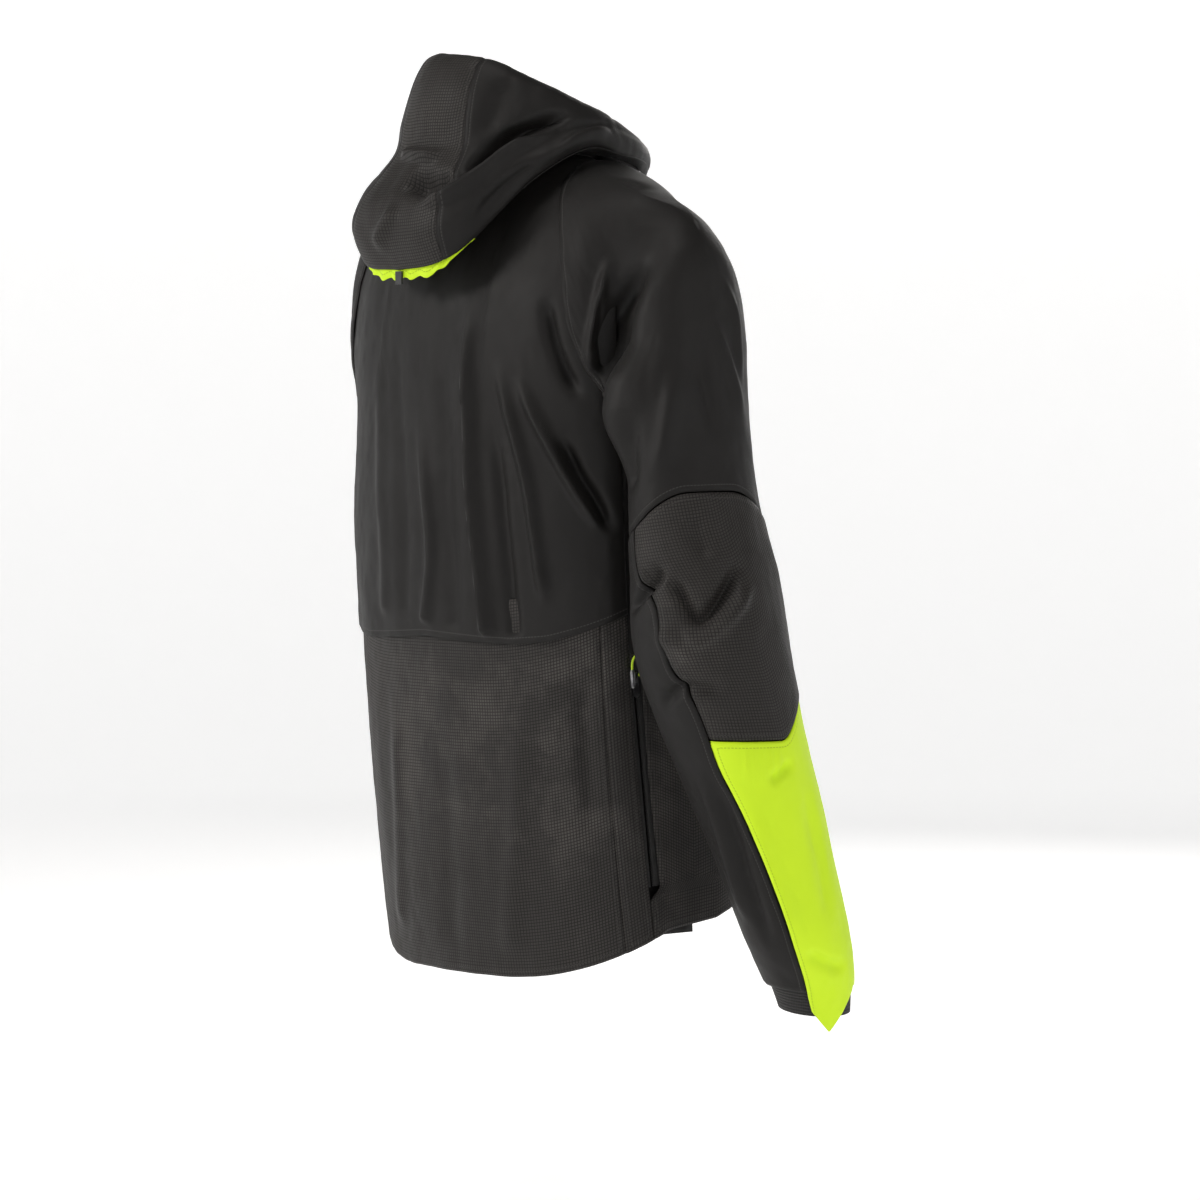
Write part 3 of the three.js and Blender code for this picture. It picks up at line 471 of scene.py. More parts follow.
def stitches(n):
    """A line of stitches along the sewn edges: 1 on a stitch and 0 elsewhere, and the dent that it pulls."""
    run, away = n.cloth("seam")
    off = n.maths("ABSOLUTE", n.maths("SUBTRACT", away, STITCH_INSET))
    line = n.between(off, 0.0003, 0.0006, 1.0, 0.0)
    dash = n.between(n.wave(run, STITCH_PITCH), 0.16, 0.3)
    dent = n.between(off, 0.0, 0.0018, 1.0, 0.0)
    return n.maths("MULTIPLY", line, dash), dent


def sewn_height(n, height, stitch, dent):
    return n.maths("ADD", height, n.maths("SUBTRACT", n.maths("MULTIPLY", stitch, 0.9), dent))


def shell_fabric():
    n = Nodes("shell_fabric")
    u, v = n.cloth()
    stitch, dent = stitches(n)
    twill = n.wave(n.maths("ADD", u, n.maths("MULTIPLY", v, 0.6)), 0.0011)
    cross = n.wave(v, 0.0008)
    weave = n.maths("MULTIPLY", twill, n.maths("MULTIPLY_ADD", cross, 0.4, 0.6))
    cloud = n.noise(9.0, 4.0)
    lint = n.between(n.noise(900.0, 2.0), 0.7, 0.8)
    base = n.colours(cloud, (0.0042, 0.0037, 0.0034), (0.0074, 0.0066, 0.0061))
    threads = n.colours(n.maths("MULTIPLY", weave, 0.5), base, (0.0120, 0.0108, 0.0100))
    fluff = n.colours(n.maths("MULTIPLY", lint, 0.25), threads, (0.06, 0.058, 0.055))
    colour = n.colours(stitch, fluff, (0.034, 0.0325, 0.031))
    height = sewn_height(n, n.maths("MULTIPLY", weave, 0.3), stitch, dent)
    roughness = n.maths("MULTIPLY_ADD", n.noise(35.0, 3.0), 0.16, 0.5)
    return n.finish(colour, roughness, n.bump(height, 0.0003, 0.6), Specular_IOR_Level=0.22,
                    Sheen_Weight=0.012,
                    Sheen_Roughness=0.4)


GRID_PITCH = 0.0029


def grid_fabric():
    n = Nodes("grid_fabric")
    u, v = n.cloth()
    stitch, dent = stitches(n)
    lines = n.maths("MAXIMUM", n.wave(u, GRID_PITCH), n.wave(v, GRID_PITCH))
    cell = n.between(lines, 0.62, 0.93, 1.0, 0.0)
    # The lighter cloudy patches on the cells and lines are painted sheen: the grid fabric's shine is put into
    # its colour.
    cloud = n.between(n.noise(13.0, 6.0, 0.66), 0.42, 0.66)
    painted_sheen_spread = n.between(n.noise(3.6, 3.0), 0.36, 0.64)
    light = n.maths("MULTIPLY_ADD", n.maths("MULTIPLY", cloud, painted_sheen_spread), 0.75, 0.25)
    top = n.colours(light, (0.0165, 0.0148, 0.0136), (0.066, 0.0605, 0.056))
    flat = n.colours(cell, n.colours(light, (0.0048, 0.0042, 0.0038), (0.0220, 0.0200, 0.0185)), top)
    colour = n.colours(stitch, flat, (0.034, 0.032, 0.03))
    height = sewn_height(n, cell, stitch, dent)
    roughness = n.maths("MULTIPLY_ADD", cell, -0.12, n.maths("MULTIPLY_ADD", cloud, 0.12, 0.6))
    return n.finish(colour, roughness, n.bump(height, 0.00035, 0.7), Specular_IOR_Level=0.2,
                    Sheen_Weight=0.012,
                    Sheen_Roughness=0.45)


def neon_fabric():
    n = Nodes("neon_fabric")
    u, v = n.cloth()
    stitch, dent = stitches(n)
    weave = n.maths("MULTIPLY", n.wave(u, 0.0010), n.wave(v, 0.0010))
    cloud = n.noise(14.0, 4.0)
    base = n.colours(cloud, (0.52, 0.76, 0.006), (0.60, 0.84, 0.010))
    threads = n.colours(n.maths("MULTIPLY", weave, 0.35), base, (0.42, 0.66, 0.004))
    colour = n.colours(stitch, threads, (0.34, 0.52, 0.004))
    height = sewn_height(n, n.maths("MULTIPLY", weave, 0.3), stitch, dent)
    roughness = n.maths("MULTIPLY_ADD", n.noise(40.0, 3.0), 0.14, 0.52)
    return n.finish(colour, roughness, n.bump(height, 0.0003, 0.6), Specular_IOR_Level=0.3,
                    Sheen_Weight=0.03)


def elastic_fabric():
    n = Nodes("elastic_fabric")
    u, v = n.cloth()
    rib = n.wave(v, 0.0032)
    knit = n.wave(u, 0.0016)
    cloud = n.noise(22.0, 3.0)
    base = n.colours(rib, (0.007, 0.007, 0.007), (0.022, 0.021, 0.020))
    colour = n.colours(n.maths("MULTIPLY", n.maths("MULTIPLY", knit, cloud), 0.7), base, (0.034, 0.033,
                                                                                          0.032))
    height = n.maths("ADD", rib, n.maths("MULTIPLY", knit, 0.35))
    roughness = n.maths("MULTIPLY_ADD", cloud, 0.15, 0.7)
    return n.finish(colour, roughness, n.bump(height, 0.0007, 0.8), Specular_IOR_Level=0.25,
                    Sheen_Weight=0.05)


def zip_tape_fabric():
    n = Nodes("zip_tape_fabric")
    u, v = n.cloth()
    herring = n.wave(n.maths("ADD", n.maths("MULTIPLY", n.wave(u, 0.004), 0.002), v), 0.0012)
    cloud = n.noise(50.0, 3.0)
    colour = n.colours(n.maths("MULTIPLY", herring, cloud), (0.008, 0.008, 0.008), (0.04, 0.038, 0.036))
    roughness = n.maths("MULTIPLY_ADD", cloud, 0.2, 0.6)
    return n.finish(colour, roughness, n.bump(herring, 0.0003, 0.7), Specular_IOR_Level=0.35,
                    Sheen_Weight=0.1)


def coil_plastic():
    n = Nodes("coil_plastic")
    cloud = n.noise(300.0, 3.0)
    colour = n.colours(cloud, (0.01, 0.01, 0.01), (0.03, 0.03, 0.03))
    roughness = n.maths("MULTIPLY_ADD", cloud, 0.25, 0.3)
    return n.finish(colour, roughness, n.bump(cloud, 0.0001, 0.5))


def moulded_plastic():
    n = Nodes("moulded_plastic")
    grain = n.noise(1800.0, 2.0)
    rubbed = n.noise(60.0, 4.0)
    colour = n.colours(rubbed, (0.008, 0.008, 0.0085), (0.02, 0.02, 0.021))
    roughness = n.maths("MULTIPLY_ADD", rubbed, 0.22, 0.3)
    return n.finish(colour, roughness, n.bump(grain, 0.00012, 0.6), Specular_IOR_Level=0.5)


def gunmetal():
    n = Nodes("gunmetal")
    brushed = n.noise(400.0, 3.0)
    rubbed = n.between(n.noise(120.0, 4.0), 0.4, 0.7)
    colour = n.colours(rubbed, (0.10, 0.10, 0.105), (0.34, 0.34, 0.35))
    roughness = n.maths("MULTIPLY_ADD", brushed, 0.3, 0.22)
    return n.finish(colour, roughness, n.bump(brushed, 0.00008, 0.6), Metallic=0.9)


def braid(name, dark, light):
    n = Nodes(name)
    u, v = n.cloth()
    one = n.wave(n.maths("ADD", u, v), 0.0016)
    two = n.wave(n.maths("SUBTRACT", u, v), 0.0016)
    strands = n.maths("MAXIMUM", one, two)
    cloud = n.noise(200.0, 3.0)
    colour = n.colours(n.maths("MULTIPLY", strands, n.maths("MULTIPLY_ADD", cloud, 0.5, 0.6)), dark, light)
    roughness = n.maths("MULTIPLY_ADD", cloud, 0.2, 0.6)
    return n.finish(colour, roughness, n.bump(strands, 0.00035, 0.8), Sheen_Weight=0.15)


MATERIALS = {
    "shell": shell_fabric(),
    "grid": grid_fabric(),
    "neon": neon_fabric(),
    "elastic": elastic_fabric(),
    "tape": zip_tape_fabric(),
    "coil": coil_plastic(),
    "plastic": moulded_plastic(),
    "metal": gunmetal(),
    "cord": braid("black_braid", (0.005, 0.005, 0.005), (0.04, 0.038, 0.036)),
    "lime_cord": braid("lime_braid", (0.30, 0.46, 0.003), (0.58, 0.82, 0.01)),
}


# ---- Folds and creases: each is a line of points on the jacket that the cloth rises or sinks along ----
# All but the last fold's points were read off the photo, projected onto the cloth by another program and
# rounded to whole millimetres. Rise, width and fade were given one by one.
FOLDS = []


def fold(on, points, rise, width, other_width=None, fade=(0.3, 0.3)):
    """On is a word in the names of the pieces that it shows on."""
    line = np.array(points, float)
    line = along_rows(line, np.linspace(0, len(line) - 1, 6 * len(line)))
    FOLDS.append((on, line, rise, width, other_width or width, fade))


def fold_relief(name, points, normals):
    height = np.zeros(points.shape[:-1])
    for on, line, rise, width, other, fade in FOLDS:
        if on not in name:
            continue
        reach = 2.6 * max(width, other)
        low, high = line.min(0) - reach, line.max(0) + reach
        near = ((points >= low) & (points <= high)).all(-1)
        if not near.any():
            continue
        p, n = points[near], normals[near]
        start, step = line[:-1], np.diff(line, axis=0)
        length = np.linalg.norm(step, axis=1)
        begin = np.concatenate([[0], np.cumsum(length)])
        best = np.full(len(p), 1e9)
        share, signed = np.zeros(len(p)), np.zeros(len(p))
        for k in range(len(step)):
            gap = p - start[k]
            t = np.clip(gap @ step[k] / length[k] ** 2, 0, 1)
            rest = gap - t[:, None] * step[k]
            dist = np.linalg.norm(rest, axis=1)
            side = np.einsum("ij,ij->i", np.cross(step[k] / length[k], n), rest)
            closer = dist < best
            best = np.where(closer, dist, best)
            share = np.where(closer, (begin[k] + t * length[k]) / begin[-1], share)
            signed = np.where(closer, side, signed)
        reach_here = np.where(signed < 0, width, other)
        taper = smooth(share / max(fade[0], 1e-3)) * smooth((1 - share) / max(fade[1], 1e-3))
        height[near] += rise * taper * np.exp(-(best / reach_here) ** 2)
    return height


# Cape
fold("cape", [(79, 66, -151), (74, 70, -253), (66, 74, -346), (69, 69, -418)], 3, 10, fade=(0.4, 0.05))
fold("cape", [(12, 76, -217), (-8, 80, -306), (-12, 78, -361), (0, 76, -423)], 6, 7, fade=(0.4, 0.05))
fold("cape", [(-24, 69, -126), (-30, 76, -235), (-40, 77, -344), (-42, 74, -431)], -4, 11, fade=(0.4, 0.05))
fold("cape", [(-55, 66, -118), (-58, 73, -196), (-65, 74, -284), (-74, 72, -360),
      (-79, 67, -432)], 11, 9, 4, fade=(0.3, 0.03))
fold("cape", [(-83, 67, -217), (-96, 66, -284), (-104, 63, -359), (-108, 58, -431)], -6, 6, fade=(0.4, 0.04))
fold("cape", [(-90, 65, -176), (-101, 63, -217), (-122, 57, -284), (-131, 53, -337),
      (-138, 47, -405)], 8, 6, 4.5, fade=(0.3, 0.15))
fold("cape", [(-111, 60, -191), (-130, 52, -232), (-153, 41, -275), (-169, 29, -308),
      (-180, 15, -333)], 9, 6, 5, fade=(0.3, 0.2))
fold("cape", [(-136, 45, -120), (-144, 45, -157), (-154, 40, -187),
      (-167, 27, -218)], -10, 6, fade=(0.3, 0.25))
fold("cape", [(-149, 42, -244), (-163, 33, -280), (-175, 22, -305),
      (-185, 5, -337)], -11, 6.5, 5, fade=(0.3, 0.2))
fold("cape", [(47, 67, -124), (42, 74, -217), (29, 79, -327), (31, 76, -419)], -3, 9, fade=(0.5, 0.05))
# Shoulder
fold("upper_sleeve", [(-186, 10, -86), (-180, 20, -131), (-177, 26, -168),
      (-176, 23, -196)], 10, 6, 5, fade=(0.3, 0.15))
fold("upper_sleeve", [(-182, 17, -120), (-180, 22, -156), (-178, 25, -182)], -6, 3.5)
fold("upper_sleeve", [(-226, -7, -91), (-206, 4, -117), (-191, 10, -145), (-185, 16, -179),
      (-179, 16, -205)], -12, 11, 8, fade=(0.3, 0.25))
fold("upper_sleeve", [(-265, 2, -183), (-268, 18, -253), (-261, 28, -292)], 7, 12, 8, fade=(0.4, 0.3))
fold("upper_sleeve", [(-244, 25, -218), (-237, 28, -262), (-229, 26, -306)], -8, 10, fade=(0.4, 0.3))
fold("upper_sleeve", [(-268, -38, -142), (-274, -47, -177), (-281, -64, -239)], 5, 6, 5, fade=(0.4, 0.4))
fold("upper_sleeve", [(-255, -54, -99), (-263, -68, -140), (-278, -65, -218)], 4, 5, fade=(0.4, 0.4))
fold("upper_sleeve", [(-268, -19, -157), (-277, -21, -201), (-287, -28, -253)], -5, 8, fade=(0.4, 0.4))
# Elbow
fold("sleeve", [(-236, 29, -404), (-268, 36, -379), (-286, 29, -363)], -12, 5.5, fade=(0.25, 0.3))
fold("sleeve", [(-256, 35, -372), (-283, 31, -364)], -6, 5)
fold("sleeve", [(-287, 29, -366), (-313, 20, -409), (-324, -4, -383),
      (-320, -25, -354)], -12, 6, 5, fade=(0.2, 0.25))
fold("sleeve", [(-303, 28, -407), (-315, 19, -428), (-330, -8, -404), (-327, -33, -375)], 9, 10, 5)
fold("sleeve", [(-272, 37, -427), (-296, 33, -427), (-315, 17, -446)], 6, 9)
fold("sleeve", [(-268, 20, -488), (-284, 24, -474), (-302, 20, -467),
      (-329, -7, -470)], -7, 6, fade=(0.25, 0.3))
fold("sleeve", [(-293, 9, -314), (-304, 7, -340), (-313, 2, -357)], -5, 8)
# Forearm
fold("sleeve_forearm", [(-317, -32, -568), (-318, -67, -640), (-315, -102, -714)], 5, 9, 7)
fold("sleeve_forearm", [(-332, -45, -552), (-336, -57, -544), (-336, -72, -534)], -5, 5)
fold("sleeve_forearm", [(-319, -100, -705), (-323, -123, -717), (-319, -153, -725)], -5, 6)
fold("sleeve_forearm", [(-335, -83, -552), (-332, -109, -624), (-330, -124, -688)], -4, 8)
fold("sleeve_under", [(-287, -1, -533), (-283, -40, -615), (-280, -73, -688)], 5, 7, fade=(0.3, 0.2))
fold("sleeve_under", [(-301, -9, -541), (-298, -50, -632), (-297, -84, -706)], -5, 6, fade=(0.3, 0.2))
# Gathers
for gather in [
    [(-328, -22, -518), (-326, -27, -536), (-322, -33, -559)],
    [(-331, -29, -518), (-330, -33, -536), (-326, -39, -559)],
    [(-334, -36, -518), (-333, -40, -536), (-330, -45, -559)],
    [(-336, -43, -518), (-335, -47, -536), (-333, -51, -559)],
    [(-337, -52, -519), (-337, -55, -536), (-335, -59, -560)],
]:
    fold("sleeve_forearm", gather, 1.6, 2.2, fade=(0.2, 0.5))
# Hood
fold("hood_", [(38, 74, 11), (-9, 82, 4), (-36, 78, 5)], 10, 5)
fold("hood_", [(0, 98, -16), (-40, 99, -23), (-61, 84, -14)], -19, 13, 10)
fold("hood_", [(-67, 84, -16), (-70, 66, 0), (-77, 48, 15), (-96, 12, 34),
      (-102, -18, 42)], -18, 6, 5, fade=(0.2, 0.3))
fold("hood_", [(-30, 112, -41), (-63, 101, -35), (-82, 77, -17), (-89, 44, 7),
      (-101, -2, 30)], 12, 8, 6, fade=(0.25, 0.3))
fold("hood_", [(-112, 12, 6), (-111, -10, 19), (-110, -30, 26), (-106, -60, 29)], 5, 5)
fold("hood_", [(-83, 88, -60), (-95, 74, -39), (-105, 48, -13), (-111, 20, 5)], -6, 8)
fold("hood_", [(-61, 35, 78), (-68, 44, 53), (-62, 59, 17)], -5, 10)
fold("hood_", [(-10, 113, -40), (5, 117, -58), (22, 114, -81)], 6, 8)
# Lower back
fold("back_lower", [(61, 64, -476), (69, 54, -588), (85, 37, -713)], 4, 11, fade=(0.3, 0.1))
fold("back_lower", [(-15, 69, -491), (-13, 61, -601), (-5, 48, -722)], -3, 13, fade=(0.4, 0.1))
fold("back_lower", [(-109, 51, -478), (-96, 46, -596), (-75, 38, -726)], 4, 13, fade=(0.4, 0.1))
fold("back_lower", [(-161, 24, -450), (-160, 17, -540), (-159, 9, -621)], -4, 9)
# The sleeve hangs out over the back of the body.
fold("upper_sleeve", [(-214, 16, -160), (-213, 22, -205), (-221, 25, -245), (-236, 28, -290)], 22, 27,
     fade=(0.35, 0.5))


# ---- Making a sheet of cloth ----
def normals_of(points, outward):
    du = np.gradient(points, axis=1)
    dv = np.gradient(points, axis=0)
    return unit(np.cross(du, dv)) * outward


def running(points, axis):
    """Length along the rows or columns from the first point."""
    step = np.linalg.norm(np.diff(points, axis=axis), axis=-1)
    zero = np.zeros_like(np.take(step, [0], axis=axis))
    return np.concatenate([zero, np.cumsum(step, axis=axis)], axis=axis)


def grid_faces(index):
    """The faces between neighbouring rows and columns of vertex numbers."""
    return np.stack([index[:-1, :-1].ravel(), index[:-1, 1:].ravel(), index[1:, 1:].ravel(),
                     index[1:, :-1].ravel()], 1)


def close_ring(normals):
    """Gives the two joined edges of a round piece the same normals."""
    wrapped = unit(normals[:, 0] + normals[:, -1])
    normals[:, 0], normals[:, -1] = wrapped, wrapped


def place(obj, finish, body, replaced, blended=None):
    if blended:
        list(blended)
        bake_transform(obj)
    else:
        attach(obj, body)
    if replaced:
        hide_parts(*replaced)
    return obj


def make_mesh(name, verts, faces, layers, material):
    mesh = bpy.data.meshes.new(name)
    mesh.vertices.add(len(verts))
    mesh.vertices.foreach_set("co", (np.asarray(verts, float) * MM).ravel())
    faces = np.asarray(faces, int)
    mesh.loops.add(faces.size)
    mesh.loops.foreach_set("vertex_index", faces.ravel())
    mesh.polygons.add(len(faces))
    mesh.polygons.foreach_set("loop_start", np.arange(0, faces.size, faces.shape[1]))
    mesh.polygons.foreach_set("use_smooth", np.ones(len(faces), bool))
    for layer, values in layers:
        uv = mesh.uv_layers.new(name=layer)
        uv.data.foreach_set("uv", values[faces.ravel()].astype(np.float32).ravel())
    mesh.materials.append(material)
    mesh.update(calc_edges=True)
    mesh.validate()
    obj = bpy.data.objects.new(name, mesh)
    bpy.context.scene.collection.objects.link(obj)
    return obj


SEAM_WIDTH = 2.2
FAR_AWAY = 1e3


def make_cloth(name, surface, size, finish, replaced=(), body="jacket_shell", outward=1, thickness=1.1,
               relief=None, seam=(1.0, 1.0, 1.0, 1.0), sewn=(0, 0, 0, 0), round_=False, spacing=2.6,
               folds=True,
               blended=None):
    """A sheet over surface(u, v) with u across and v up, both 0 to 1. Size is its rough width and height.
    Seam gives how deep the left, right, bottom and top edges are pulled in,
    and sewn marks stitched edges."""
    across, along = (max(4, int(round(s / spacing))) for s in size)
    u, v = np.meshgrid(np.linspace(0, 1, across + 1), np.linspace(0, 1, along + 1))
    base = surface(u, v)
    normals = normals_of(base, outward)
    if round_:
        close_ring(normals)
    run_u, run_v = running(base, 1), running(base, 0)
    middle = across // 2
    cloth = np.stack([run_u - run_u[:, [middle]], run_v], -1)
    height = np.zeros(u.shape)
    if relief:
        height += relief(u, v, cloth[..., 0], cloth[..., 1])
    if folds:
        height += fold_relief(name, base, normals)
    edges = [run_u, run_u[:, [-1]] - run_u, run_v, run_v[[-1]] - run_v]
    if round_:
        edges[0] = edges[1] = np.full(u.shape, FAR_AWAY)
    for distance, depth in zip(edges, seam):
        height -= depth * np.exp(-((distance / SEAM_WIDTH) ** 2))
    outer = base + normals * height[..., None]
    bent = normals_of(outer, outward)
    if round_:
        close_ring(bent)
    inner = outer - bent * thickness
    away = np.full(u.shape, FAR_AWAY)
    run = np.zeros(u.shape)
    for k, distance in enumerate(edges):
        if sewn[k]:
            closer = distance < away
            away = np.where(closer, distance, away)
            run = np.where(closer, run_v if k < 2 else run_u, run)
    seam_map = np.stack([run, away], -1)
    rows, columns = u.shape
    index = np.arange(rows * columns).reshape(rows, columns)
    front = grid_faces(index) if outward > 0 else grid_faces(index)[:, ::-1]
    back = front[:, ::-1] + rows * columns
    rim_lines = [index[0, ::-1], index[-1]]
    if not round_:
        rim_lines += [index[:, 0], index[::-1, -1]]
    rims = []
    for line in rim_lines:
        s, e = line[:-1], line[1:]
        quad = np.stack([s, e, e + rows * columns, s + rows * columns], 1)
        rims.append(quad if outward > 0 else quad[:, ::-1])
    rims = np.concatenate(rims)
    faces = np.concatenate([front, back, rims])
    verts = np.concatenate([outer.reshape(-1, 3), inner.reshape(-1, 3)])
    layers = [(layer, np.concatenate([values.reshape(-1, 2)] * 2) * MM)
              for layer, values in (("cloth", cloth), ("seam", seam_map))]
    obj = make_mesh(name, verts, faces, layers, MATERIALS[finish])
    if round_:
        weld(obj)
    return place(obj, finish, body, replaced, blended)


WELD_DISTANCE = 0.00005


def weld(obj):
    modifier = obj.modifiers.new("weld", "WELD")
    modifier.merge_threshold = WELD_DISTANCE
    graph = bpy.context.evaluated_depsgraph_get()
    mesh = bpy.data.meshes.new_from_object(obj.evaluated_get(graph))
    obj.modifiers.clear()
    obj.data = mesh


# ---- Torso ----
CAPE_EDGE, CAPE_HINGE_Z, CAPE_STAND_OFF = 82.0, -330.0, 4.6
CAPE_HEM = [(0, -431), (22, -435), (33, -436), (46, -433), (60, -424), (82, -408)]


def pushed_out(point, amount):
    away = unit((point - np.array([0, CHEST_CENTRE_Y, 0])) * np.array([1, 1, 0]))
    return point + away * np.asarray(amount)[..., None]


def panel_of_torso(from_column, to_column, bottom, top, stand_off=None):
    def surface(u, v):
        column = mix(from_column, to_column, u)
        height = mix(bottom(column), top(column), v)
        point = torso(column, height)
        return pushed_out(point, stand_off(column, height)) if stand_off else point
    return surface


def level(z):
    return lambda column: np.full(np.shape(column), float(z))


def soft_relief(seed, deep=1.2, fine=0.25, cell=(34, 120)):
    def relief(u, v, x, z):
        return (deep * ripple(x, z, cell[0], cell[1], seed) + 0.4 * deep * ripple(x, z, 18, 46, seed + 1)
                + fine * ripple(x, z, 7, 13, seed + 2))
    return relief


def make_back():
    stand_off = lambda column, height: CAPE_STAND_OFF * smooth((ARMPIT_Z - height) / 110) * mix(
        0.5, 1, smooth((CAPE_EDGE - np.abs(column)) / 10))
    hem = lambda column: table(CAPE_HEM, np.abs(column))
    cape = panel_of_torso(CAPE_EDGE, -CAPE_EDGE, hem, lambda c: neck_height(c) - 4, stand_off)
    make_cloth("cape", cape, (430, 640), "shell", ["back_cape", "back_vent_flap"], seam=(0.4, 0.4, 0, 0),
               sewn=(0, 0, 1, 0), relief=soft_relief(3), thickness=1.2,
               blended=("jacket_shell", "vent_flap", (0, 0.08, -0.31), (0, 0.08, -0.37)))
    lower = panel_of_torso(68.25, -68.25, hem_z, level(-395))
    make_cloth("back_lower", lower, (400, 345), "grid", ["back_lower_panel"], sewn=(1, 1, 1, 0),
               relief=soft_relief(11, 1.0))


def make_sides_and_front():
    for name, side in SIDES.items():
        pair = lambda a, b: (side * b, side * a) if side > 0 else (side * a, side * b)
        welt = panel_of_torso(*pair(68.0, 82.0), hem_z, level(-396))
        make_cloth(f"welt_cloth_{name}", welt, (34, 290), "grid", [f"pocket_welt_{name}"], sewn=(1, 1, 1, 0),
                   relief=soft_relief(21, 0.4), seam=(1, 0.2, 0, 0) if side < 0 else (0.2, 1, 0, 0))

        def side_surface(u, v, side=side):
            z_guess = mix(-690.0, -438.0, v)
            shut = np.maximum(smooth((z_guess + 461) / 8), smooth((-648 - z_guess) / 10))
            edge = mix(89.4, 82.05, shut)
            lo, hi = (edge, 128.0) if side < 0 else (128.0, edge)
            column = side * mix(lo, hi, u)
            return torso(column, mix(hem_z(column), -438.0, v))
        make_cloth(f"side_cloth_{name}", side_surface, (90, 280), "grid", [f"side_panel_{name}"],
                   sewn=(1, 1, 1, 0), relief=soft_relief(31, 0.8), seam=(1, 1, 0.4, 3))
        under = panel_of_torso(*pair(81.9, 107.9), level(-445), level(-214))
        make_cloth(f"underarm_{name}", under, (110, 222), "shell", [f"underarm_panel_{name}"], sewn=(1, 1,
                                                                                                     0, 0),
                   relief=soft_relief(41, 1.0))
        low = panel_of_torso(*pair(127.9, 185.0), hem_z, level(-441))
        make_cloth(f"front_lower_{name}", low, (170, 250), "grid", [f"front_lower_panel_{name}"],
                   sewn=(1, 1, 1, 0), relief=soft_relief(51, 0.9), seam=(1, 1, 0.4, 3))
        up = panel_of_torso(*pair(107.6, 185.0), level(-443), lambda c: neck_height(c) - 4)
        make_cloth(f"front_upper_{name}", up, (230, 520), "shell", [f"front_upper_panel_{name}"],
                   sewn=(1, 1, 0, 0), relief=soft_relief(61, 1.2))
        bag = panel_of_torso(*pair(74.0, 97.0), level(-700), level(-436),
                             lambda c, h: np.full(np.shape(c), -11.0))
        make_cloth(f"pocket_bag_{name}", bag, (50, 240), "shell", thickness=0.8, seam=(0, 0, 0, 0),
                   spacing=4,
                   folds=False)


def make_collar():
    end = 180 - COLLAR_OPENING
    make_cloth("collar_shell", lambda u, v: collar_point(mix(end, -end, u), v, np.zeros_like(u)), (440, 50),
               "shell", ["collar_outer"], thickness=1.2, sewn=(0, 0, 0, 1), relief=soft_relief(71, 0.6))
    make_cloth("collar_lining_lime", lambda u, v: collar_point(mix(end, -end, u), v, np.full_like(u, 3.2)),
               (430, 50), "neon", ["collar_lining"], thickness=1.0, relief=soft_relief(72, 0.5), folds=False)


# ---- Hood ----
HOOD_CENTRE_HALF_ANGLE, HOOD_END_ANGLE, HOOD_OVERLAP = 19.0, 163.0, 0.3
FACING_HALF_ANGLE, FACING_DROP, FACING_INSET = 40.0, 8.0, 6.0


def make_hood():
    def wrap(a, b):
        return lambda u, v: hood_point(mix(a, b, u), 1 - v)
    edge = HOOD_CENTRE_HALF_ANGLE
    make_cloth("hood_centre", wrap(edge + HOOD_OVERLAP, -edge - HOOD_OVERLAP), (110, 270), "grid",
               ["hood_centre_panel"],
               sewn=(1, 1, 0, 1), relief=soft_relief(81, 0.9, cell=(40, 60)))
    make_cloth("hood_left", wrap(HOOD_END_ANGLE, edge - HOOD_OVERLAP), (330, 260), "shell",
               ["hood_side_left"],
               sewn=(0, 1, 0, 1), relief=soft_relief(82, 1.0, cell=(60, 40)))
    make_cloth("hood_right", wrap(HOOD_OVERLAP - edge, -HOOD_END_ANGLE), (330, 260), "shell",
               ["hood_side_right"],
               sewn=(1, 0, 0, 1), relief=soft_relief(83, 1.0, cell=(60, 40)))

    def lining(u, v):
        angle = mix(138.0, -138.0, u)
        base = collar_point(angle, np.full_like(u, 0.25), np.full_like(u, -3.5))
        return mix(base, hood_point(angle, np.zeros_like(u)), (v * 0.97)[..., None])
    make_cloth("hood_inside", lining, (420, 90), "shell", ["hood_lining"], outward=-1, thickness=0.9,
               relief=soft_relief(84, 1.5, cell=(30, 60)), folds=False)

    # The hood is sewn to the collar from below the ears to the front.
    for name, side in SIDES.items():
        def join(u, v, side=side):
            angle = mix(162.0, 42.0, u if side > 0 else 1 - u) * side
            edge = hood_point(angle, np.ones_like(u))
            base = collar_point(angle, np.full_like(u, 0.12), np.full_like(u, -1.5))
            return mix(edge, base, v[..., None])
        make_cloth(f"hood_join_{name}", join, (200, 25), "shell", thickness=0.9, outward=-1, spacing=2.2,
                   seam=(0, 0, 0, 0), folds=False)

    def facing(u, v):
        angle = mix(FACING_HALF_ANGLE, -27.0, u)
        point = hood_point(angle, np.ones_like(u))
        turn = np.radians(angle)
        middle = 1 - smooth((np.abs(angle + 2) - 10) / 16)
        drop = (FACING_DROP + 1.5 * np.sin(angle * 0.9)) * middle - 3.5 * smooth((-angle - 14) / 12)
        gather = 0.9 * np.sin(angle * 1.3 + 1.2 * np.sin(angle * 0.35)) * (1 - 0.6 * v)
        inward = np.stack([-np.sin(turn), -np.cos(turn), np.zeros_like(turn)], -1)
        lift = np.stack([np.zeros_like(u), np.zeros_like(u), mix(-drop, 8.0, v)], -1)
        away = FACING_INSET - 2 + gather + 5 * smooth((-angle - 18) / 12)
        return point + inward * away[..., None] + lift
    make_cloth("hood_facing", facing, (230, 17), "neon", ["hood_lower_facing"], thickness=0.9, spacing=1.2,
               folds=False, seam=(0, 0, 0, 0), sewn=(0, 0, 1, 0))


